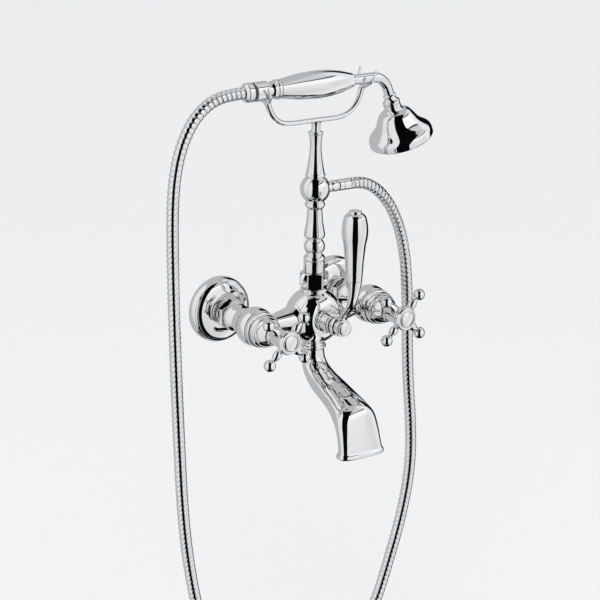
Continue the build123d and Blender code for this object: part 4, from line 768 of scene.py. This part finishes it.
def diverter():
    """Bonnet, lever strap with its hub, lever cap and grip."""
    origin = spot(0, 0, 0)
    start = 99.5
    outline = line(
        (7.3, start), (12.8, start), ((13.3, start + 2.2), (12.8, start + 4.4)), (12.0, start + 5.2),
        ((11.5, start + 9.4), (11.0, start + 13.6)), (10.1, start + 14.1), (10.1, start + 15.0),
        (11.0, start + 15.5), (11.0, start + 18.1), (10.3, start + 18.5), (7.3, start + 18.5), soft=0.3,
    )
    lathe("diverter_bonnet_turned", "root", "chrome", ["diverter_bonnet"], origin, OUT, outline)
    shape = Shape()
    hub = 118.5
    outline = line(
        (4.2, hub), (10.2, hub), ((11.0, hub + 3.3), (10.2, hub + 6.2)), (8.8, hub + 7.2),
        (9.2, hub + 8.6), ((9.8, hub + 11.0), (9.2, hub + 13.1)), (8.6, hub + 13.3), (4.2, hub + 13.3),
        soft=0.4,
    )
    turned(shape, origin, OUT, outline)
    # Reach, rise, half width and half depth of the strap
    stations = [
        (128.6, 0.0, 6.2, 2.0), (129.0, 5.0, 5.8, 2.2), (129.8, 9.8, 5.4, 2.4), (132.3, 14.2, 5.1, 2.6),
        (136.2, 18.6, 5.0, 2.8), (140.9, 24.4, 5.1, 3.2), (144.6, 30.7, 5.4, 3.9), (146.9, 37.4, 5.9, 4.8),
        (148.0, 44.6, 6.7, 6.0), (148.4, 51.2, 7.6, 7.2), (148.4, 57.0, 8.45, 8.4),
    ]
    stations = smooth_line(stations, 6)
    places = [spot(0, station[0], station[1]) for station in stations]
    sizes = [tuple(station[2:]) for station in stations]
    swept(shape, places, sizes, ALONG, 2.2, 48)
    shape.build("lever_arm_forged", "diverter_lever", "chrome", ["lever_arm"])
    rim = 134.9
    outline = line((0, 131.8), (7.5, 131.8), (7.8, 132.3), (7.8, rim), dome(7.8, rim, 1.9), soft=1.4)
    lathe("lever_cap_dome", "diverter_lever", "chrome", ["lever_cap"], origin, OUT, outline)
    outline = line(
        (3.1, 57.1), (8.1, 57.1), (8.6, 57.6), ((10.1, 81.0), (11.9, 97.0)), ((13.9, 112.0), (11.9, 124.5)),
        ((9.4, 128.2), (6.5, 129.7)), (6.2, 130.2), ((6.9, 131.2), (5.7, 132.3)), (3.6, 132.4),
        ((1.8, 131.6), (0, 131.4)), (0, 67.4), (3.1, 67.4), soft=0.3,
    )
    grip_foot = spot(0, 148.4, 0)
    lathe("lever_grip_turned", "diverter_lever", "chrome", ["lever_grip"], grip_foot, UP, outline)


diverter()


# Column

def column():
    """Column nut, lower column, ball, upper column and hose outlet; gives back the outlet's ferrule."""
    foot = spot(0, REACH, 0)
    shape = Shape()
    outline = line(
        (8.3, 31.4), (12.6, 31.4), ((14.4, 31.8), (15.59, 32.8)), (15.59, 47.4),
        ((14.6, 48.4), (13.0, 48.9)), (8.3, 48.9), soft=0.25,
    )
    hexagon(shape, foot, UP, 27.0, outline, corner=0.9, turn=math.pi / 6)
    shape.build("column_nut_hex", "root", "chrome", ["column_nut"])
    base = 49.2
    outline = line(
        (5.2, base), (11.2, base), (11.45, base + 0.4), (11.45, base + 10.6), (10.7, base + 11.4),
        (10.7, base + 12.3), ((11.7, base + 14.6), (10.7, base + 17.2)), (8.6, base + 18.6),
        (8.4, base + 20.6), ((11.4, base + 28.0), (8.4, base + 34.6)), (8.5, base + 35.8),
        ((9.6, base + 36.8), (10.9, base + 38.4)), ((11.45, base + 40.4), (11.0, base + 43.6)),
        ((9.1, base + 54.0), (8.0, base + 67.8)), (8.1, base + 69.4), (9.2, base + 70.6),
        ((10.9, base + 73.6), (9.4, base + 76.8)), (9.4, base + 78.0), (5.2, base + 78.0), soft=0.4,
    )
    lathe("lower_column_turned", "root", "chrome", ["lower_column"], foot, UP, outline)
    ball = 139.8
    outline = line(
        (0, ball - 12.6), (10.12, ball - 12.6), ((16.16, ball), (10.12, ball + 12.6)), (0, ball + 12.6),
        soft=0.3,
    )
    lathe("column_tee_ball", "root", "chrome", ["column_tee"], foot, UP, outline, 128)
    base = 152.4
    outline = line(
        (0, base), (9.4, base), ((10.8, base + 2.6), (9.9, base + 5.0)),
        ((8.0, base + 15.2), (6.8, base + 24.0)), ((6.1, base + 34.5), (7.2, base + 46.4)),
        ((8.1, base + 48.0), (7.3, base + 49.4)), (4.95, base + 49.4), (4.95, base + 44.0), (0, base + 44.0),
        soft=0.3,
    )
    lathe("upper_column_turned", "root", "chrome", ["upper_column"], foot, UP, outline)
    outlet = spot(0, REACH, ball)
    outline = line(
        (3.0, 14.5), (5.8, 14.5), (5.8, 18.2), (5.3, 19.0), ((6.4, 23.6), (5.5, 28.3)), (5.2, 28.6),
        (3.0, 28.6), soft=0.35,
    )
    lathe("hose_outlet_knob", "root", "chrome", ["hose_outlet"], outlet, ALONG, outline, 64)
    outline = line(
        (4.4, 28.8), (5.7, 28.8), (6.2, 29.4), (6.2, 34.0), (5.95, 34.3), (5.95, 34.9), (6.2, 35.2),
        (6.2, 43.2), (6.0, 43.5), (4.4, 43.5), soft=0.2,
    )
    return lathe("outlet_ferrule_rolled", "root", "chrome", ["outlet_ferrule"], outlet, ALONG, outline, 64)


ferrule = column()


# Cradle

HANDSET_RISE = 251.4
# A fork's crescent: radius, half angle in degrees, steps, and height of its middle over its foot
FORK_R, FORK_HALF, FORK_STEPS, FORK_MIDDLE = 13.7, 106.0, 30, 18.2
# How far its radius grows at the tips, and the share of the half angle where that starts
FORK_FLARE, FLARE_FROM = 0.9, 0.85
# Its half width and thickness in the middle, and its last ring past each end
FORK_BROAD, FORK_THICK, THICK_SHARE = 1.75, 2.3, 0.8
TIP_PAST, TIP_RISE, TIP_SIZES = 1.2, 0.9, (0.9, 0.6)
# The bow's radius, how fast it grows towards the forks, and the share of its half where that starts
BOW_R, BOW_GROWTH, BOW_FROM = 2.55, 2.0, 0.55


def fork(shape, x, low, lean):
    """A flat crescent round the handset, leaning outwards, with its tips turned out."""
    tilt = math.radians(lean)
    rise_way = np.array((math.sin(tilt), 0.0, math.cos(tilt)))
    face_way = np.cross(OUT, rise_way)
    path, sizes = [], []
    for step in range(-FORK_STEPS, FORK_STEPS + 1):
        share = step / FORK_STEPS
        angle = share * math.radians(FORK_HALF)
        radius = FORK_R + FORK_FLARE * max(0.0, abs(share) - FLARE_FROM) / (1 - FLARE_FROM)
        across = radius * math.sin(angle)
        height = FORK_MIDDLE - radius * math.cos(angle)
        thick = FORK_THICK - 1.35 * abs(share) ** 1.3
        broad = FORK_BROAD - 0.55 * share**2
        path.append(spot(x, REACH, low) + OUT * across + rise_way * height)
        sizes.append((broad, thick * THICK_SHARE))
    first_tip = path[0] - OUT * TIP_PAST + rise_way * TIP_RISE
    last_tip = path[-1] + OUT * TIP_PAST + rise_way * TIP_RISE
    path = [first_tip, *path, last_tip]
    sizes = [TIP_SIZES, *sizes, TIP_SIZES]
    swept(shape, path, sizes, face_way, 2.6, 28)


def cradle():
    """Bow with a fork at each end, on a stem."""
    shape = Shape()
    # x and rise of the bow
    points = [
        (-61.0, 238.4), (-58.8, 233.0), (-55.6, 226.6), (-50.2, 220.2), (-43.0, 215.7), (-33.0, 213.9),
        (-15.0, 213.6), (0.0, 213.7), (15.0, 213.6), (27.0, 213.6), (37.0, 215.4), (45.0, 219.2),
        (51.2, 225.2), (55.0, 232.0), (57.2, 238.4), (58.4, 242.4),
    ]
    places = smooth_line([spot(x, REACH, rise) for x, rise in points], 6)
    sizes = []
    for i in range(len(places)):
        from_middle = abs(2 * i / (len(places) - 1) - 1)
        radius = BOW_R + BOW_GROWTH * max(0.0, from_middle - BOW_FROM)
        sizes.append((radius, radius))
    swept(shape, places, sizes, OUT, 2.0, 32)
    fork(shape, -61.2, 234.9, -20.0)
    fork(shape, 58.7, 239.6, 20.0)
    stem = [(0, 190.0), (4.9, 190.0), (4.9, 203.4), (4.7, 204.4)]
    stem += [*bend((4.7, 204.4), (4.2, 210.6), (6.4, 212.9)), (0, 213.6)]
    turned(shape, spot(0, REACH, 0), UP, stem, 64)
    shape.build("cradle_forged", "root", "chrome", ["cradle"])


cradle()


# Handset

NECK_BEND_X, NECK_BEND_R = 72.3, 21.5
NECK_TURN = math.radians(70.0)
NECK_STEPS = 24
NECK_R = 5.48
BELL_WAY = np.array((math.cos(NECK_TURN), 0.0, -math.sin(NECK_TURN)))


def neck_spot(angle):
    """A place on the neck's bend."""
    drop = NECK_BEND_R * (1 - math.cos(angle))
    return spot(NECK_BEND_X + NECK_BEND_R * math.sin(angle), REACH, HANDSET_RISE - drop)


BEND_END = neck_spot(NECK_TURN)
BELL = BEND_END + 17.0 * BELL_WAY


def handset():
    """Inlet, grip, bent neck and rose bell."""
    middle = spot(0, REACH, HANDSET_RISE)
    outline = line(
        (4.6, -62.0), (7.6, -61.9), ((7.9, -58.5), (9.2, -55.9)), (9.2, -52.6), (10.0, -52.0),
        ((10.5, -49.9), (9.9, -47.9)), (4.6, -47.8), soft=0.35,
    )
    lathe("handset_inlet_turned", "handset", "chrome", ["handset_inlet"], middle, ALONG, outline)
    outline = line(
        (4.7, -47.7), (9.6, -47.7), (9.9, -47.2), ((13.8, -21.0), (14.8, 0)), ((13.4, 20.0), (7.9, 43.7)),
        (7.4, 44.2), (4.7, 44.2), soft=0.4,
    )
    lathe("handset_grip_turned", "handset", "chrome", ["handset_grip"], middle, ALONG, outline, 128)
    shape = Shape()
    outline = line(
        (0, 43.0), (7.3, 44.3), (7.4, 45.4), (6.9, 46.2), (5.6, 47.0), (5.5, 48.0), (5.5, NECK_BEND_X),
        (0, NECK_BEND_X), soft=0.3,
    )
    turned(shape, middle, ALONG, outline, 64)
    path = [spot(NECK_BEND_X - before, REACH, HANDSET_RISE) for before in (2, 1)]
    path += [neck_spot(NECK_TURN * k / NECK_STEPS) for k in range(NECK_STEPS + 1)]
    path += [BEND_END + BELL_WAY * past for past in (3.0, 6.0, 9.0)]
    swept(shape, path, [(NECK_R, NECK_R)] * len(path), OUT, 2.0, 48)
    outline = line(
        (0, -11.0), (5.6, -11.0), (6.7, -9.9), ((6.9, -9.0), (6.3, -8.0)), ((6.5, -5.4), (7.5, -3.9)),
        (9.2, -2.8), (9.4, -2.2), (9.3, -0.1), (0, -0.1), soft=0.35,
    )
    turned(shape, BELL, BELL_WAY, outline, 64)
    shape.build("handset_neck_bent", "handset", "chrome", ["handset_neck"])
    outline = line(
        (6.7, 0.1), (9.2, 0.1), (9.4, 5.6), ((9.9, 7.6), (12.0, 8.8)), ((16.4, 11.2), (18.6, 14.0)),
        ((21.0, 18.2), (22.8, 22.0)), ((26.4, 27.4), (30.6, 31.4)), ((33.2, 33.8), (34.6, 36.2)), (35.1, 38.0),
        (35.2, 42.9), (34.6, 43.9), (33.8, 44.0), (33.7, 40.0), (31.5, 39.6), (31.4, 36.0),
        ((30.6, 34.2), (28.8, 32.4)), ((24.4, 27.8), (21.0, 22.4)), ((19.2, 18.6), (17.0, 15.0)),
        ((14.6, 12.4), (11.4, 10.8)), (6.7, 10.6), soft=0.4,
    )
    lathe("rose_bell_spun", "handset", "chrome", ["rose_bell"], BELL, BELL_WAY, outline, 160)


handset()


# Hose ends at the handset

def hose_ends():
    """Hose nut with its seal, and the cone that it turns on."""
    middle = spot(0, REACH, HANDSET_RISE)
    outline = line(
        (8.4, -80.4), (8.7, -80.3), (8.7, -78.2), (9.8, -78.0), (10.2, -77.5), (10.2, -63.2),
        (9.4, -62.1), (8.4, -62.0), soft=0.3,
    )
    nut = lathe("hose_nut_turned", "handset", "chrome", ["hose_nut"], middle, ALONG, outline)
    outline = line((8.5, -80.9), (9.4, -80.9), (9.5, -79.6), (9.4, -78.1), (8.5, -78.1), soft=0.3)
    lathe("hose_nut_seal", "handset", "seal_rubber", [], middle, ALONG, outline)
    outline = line(
        (6.2, -90.0), (7.3, -90.0), (9.9, -87.7), (10.2, -87.0), (10.2, -81.5), (9.8, -81.0), (6.2, -81.0),
        soft=0.4,
    )
    cone = lathe("hose_cone_turned", "hose_end", "chrome", ["hose_cone"], middle, ALONG, outline)
    return nut, cone


hose_nut, hose_cone = hose_ends()


# Spout

# Each section from foot to mouth: front reach and rise, back reach and rise, half width, squareness
SPOUT = [
    (87.4, -36.5, 63.4, -36.5, 12.0, 2.0), (87.6, -41.6, 63.4, -42.4, 12.2, 2.0),
    (88.6, -46.4, 64.1, -51.4, 12.9, 2.0), (91.2, -50.6, 68.8, -63.6, 14.0, 2.1),
    (95.6, -54.4, 78.5, -73.0, 15.2, 2.2), (101.5, -57.8, 89.1, -79.4, 16.3, 2.3),
    (110.8, -61.4, 101.6, -84.3, 17.4, 2.4), (122.6, -65.6, 113.7, -88.5, 18.5, 2.4),
    (135.0, -70.2, 124.5, -92.6, 19.4, 2.5), (147.0, -74.9, 134.5, -98.2, 21.4, 2.4),
    (156.0, -78.6, 141.6, -104.0, 23.2, 2.3), (161.9, -82.4, 146.4, -109.2, 24.4, 2.25),
    (165.0, -87.2, 149.6, -114.0, 25.0, 2.25), (167.5, -95.0, 152.0, -118.6, 25.3, 2.4),
    (170.0, -104.5, 154.0, -122.6, 25.6, 2.6), (172.0, -114.0, 155.2, -125.2, 25.9, 2.8),
    (173.4, -121.0, 155.8, -127.0, 26.3, 3.0), (174.0, -124.6, 156.0, -127.8, 26.4, 3.1),
]
MOUTH_REACH = 165.0
MOUTH_HALF = (26.4, 9.2)
BEAD_SQUARENESS, INSIDE_SQUARENESS = 3.1, 3.0
# Bead round the mouth as (rise, growth), and the inside as (reach, rise, half width, half depth)
BEAD = [
    (-126.2, 0.1), (-126.9, 1.1), (-128.2, 1.8), (-129.6, 2.0), (-130.9, 1.7), (-131.7, 1.0), (-131.95, 0.1),
]
INSIDE = [
    (165.0, -131.9, 24.8, 7.6), (165.0, -126.0, 24.4, 6.6), (161.0, -115.0, 22.4, 6.6),
    (153.0, -102.0, 19.5, 6.6),
]
SPOUT_SIDES = 72


def spout():
    """Swan neck that flattens towards its mouth, open at the end."""
    shape = Shape()
    rings = []
    for front, front_rise, back, back_rise, half_width, squareness in smooth_line(SPOUT, 5):
        near, far = spot(0, front, front_rise), spot(0, back, back_rise)
        depth = np.linalg.norm(near - far)
        depth_way = (near - far) / depth
        centre = (near + far) / 2
        rings.append(section(centre, ALONG, depth_way, half_width, depth / 2, squareness, SPOUT_SIDES))
    width, depth = MOUTH_HALF
    for rise, grow in BEAD:
        centre = spot(0, MOUTH_REACH, rise)
        rings.append(
            section(centre, ALONG, OUT, width + grow, depth + grow, BEAD_SQUARENESS, SPOUT_SIDES)
        )
    for reach, rise, width, depth in INSIDE:
        centre = spot(0, reach, rise)
        rings.append(section(centre, ALONG, OUT, width, depth, INSIDE_SQUARENESS, SPOUT_SIDES))
    tube(shape, rings)
    shape.build("spout_cast", "root", "chrome", ["spout"])


spout()


# Hose: its route as x and height in metres, from the handset down and up to the column

HOSE_PLANE = -0.0754
HOSE_ROUTE = [
    (-0.0903, 0.2594), (-0.106, 0.2594), (-0.125, 0.256), (-0.1435, 0.2445), (-0.158, 0.225),
    (-0.168, 0.200), (-0.174, 0.166), (-0.1753, 0.113), (-0.1735, 0.008), (-0.170, -0.097),
    (-0.166, -0.187), (-0.1585, -0.252), (-0.147, -0.310), (-0.130, -0.367), (-0.097, -0.408),
    (-0.045, -0.433), (0.012, -0.430), (0.060, -0.404), (0.091, -0.364), (0.110, -0.310),
    (0.126, -0.260), (0.137, -0.207), (0.138, -0.157), (0.1295, -0.077), (0.1268, 0.003),
    (0.124, 0.041), (0.1192, 0.068), (0.113, 0.089), (0.1052, 0.1063), (0.096, 0.1212),
    (0.0842, 0.1342), (0.071, 0.1434), (0.057, 0.1478), (0.0435, 0.1478),
]


def smooth_route():
    """Points of a smooth curve that the route's points pull."""
    curve = bpy.data.curves.new("hose_route", "CURVE")
    curve.dimensions = "3D"
    curve.resolution_u = 24
    spline = curve.splines.new("NURBS")
    spline.points.add(len(HOSE_ROUTE) - 1)
    for point, (x, z) in zip(spline.points, HOSE_ROUTE):
        point.co = (x, HOSE_PLANE, z, 1)
    spline.order_u = 3
    spline.use_endpoint_u = True
    carrier = bpy.data.objects.new("hose_route", curve)
    bpy.context.scene.collection.objects.link(carrier)
    mesh = bpy.data.meshes.new_from_object(carrier)
    bpy.data.objects.remove(carrier)
    return np.array([v.co for v in mesh.vertices])


route = smooth_route()

# Ribs as (share of the pitch, radius); the way of the route is read over WAY_SPAN before and after
HOSE_R = 6.5
GROOVE_R = 5.4
RIB_PITCH = 5.6
RIB = [
    (0.00, GROOVE_R), (0.06, GROOVE_R), (0.10, 5.90), (0.24, 6.12), (0.42, 6.28),
    (0.60, 6.42), (0.78, HOSE_R), (0.88, 6.46), (0.95, 6.20),
]
HOSE_SIDES = 32
WAY_SPAN = 1.5


def hose_mesh():
    """A strip wound into ribs: its rings climb as a helix along the route."""
    steps = np.linalg.norm(np.diff(route, axis=0), axis=1)
    run = np.concatenate(([0.0], np.cumsum(steps))) / MM
    length = run[-1]

    def place(along):
        """The route's point at a distance along it, in millimetres."""
        along = min(max(along, 0.0), length)
        return np.array([np.interp(along, run, route[:, c]) for c in range(3)]) / MM

    turns = math.ceil(length / RIB_PITCH) + 1
    points, faces = [], []
    columns = []
    for turn in range(-1, turns):
        for share, radius in RIB:
            column = []
            for k in range(HOSE_SIDES):
                a = math.tau * k / HOSE_SIDES
                along = (turn + share + k / HOSE_SIDES) * RIB_PITCH
                held = min(max(along, 0.0), length)
                way = place(held + WAY_SPAN) - place(held - WAY_SPAN)
                other = np.cross(way / np.linalg.norm(way), OUT)
                r = radius if 0.0 < along < length else GROOVE_R
                column.append(len(points))
                points.append(place(along) + r * (math.cos(a) * OUT + math.sin(a) * other))
            columns.append(column)
    per_turn = len(RIB)
    for i in range(len(columns) - 1):
        lower, upper = columns[i], columns[i + 1]
        for k in range(HOSE_SIDES - 1):
            faces.append((lower[k], lower[k + 1], upper[k + 1], upper[k]))
        if i + 1 + per_turn < len(columns):
            faces.append((lower[-1], columns[i + per_turn][0], columns[i + 1 + per_turn][0], upper[-1]))
    shape = Shape()
    shape.add(points, faces)
    return shape


hose = hose_mesh().build("hose_ribbed", None, "hose_metal", ["shower_hose"])
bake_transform(hose)
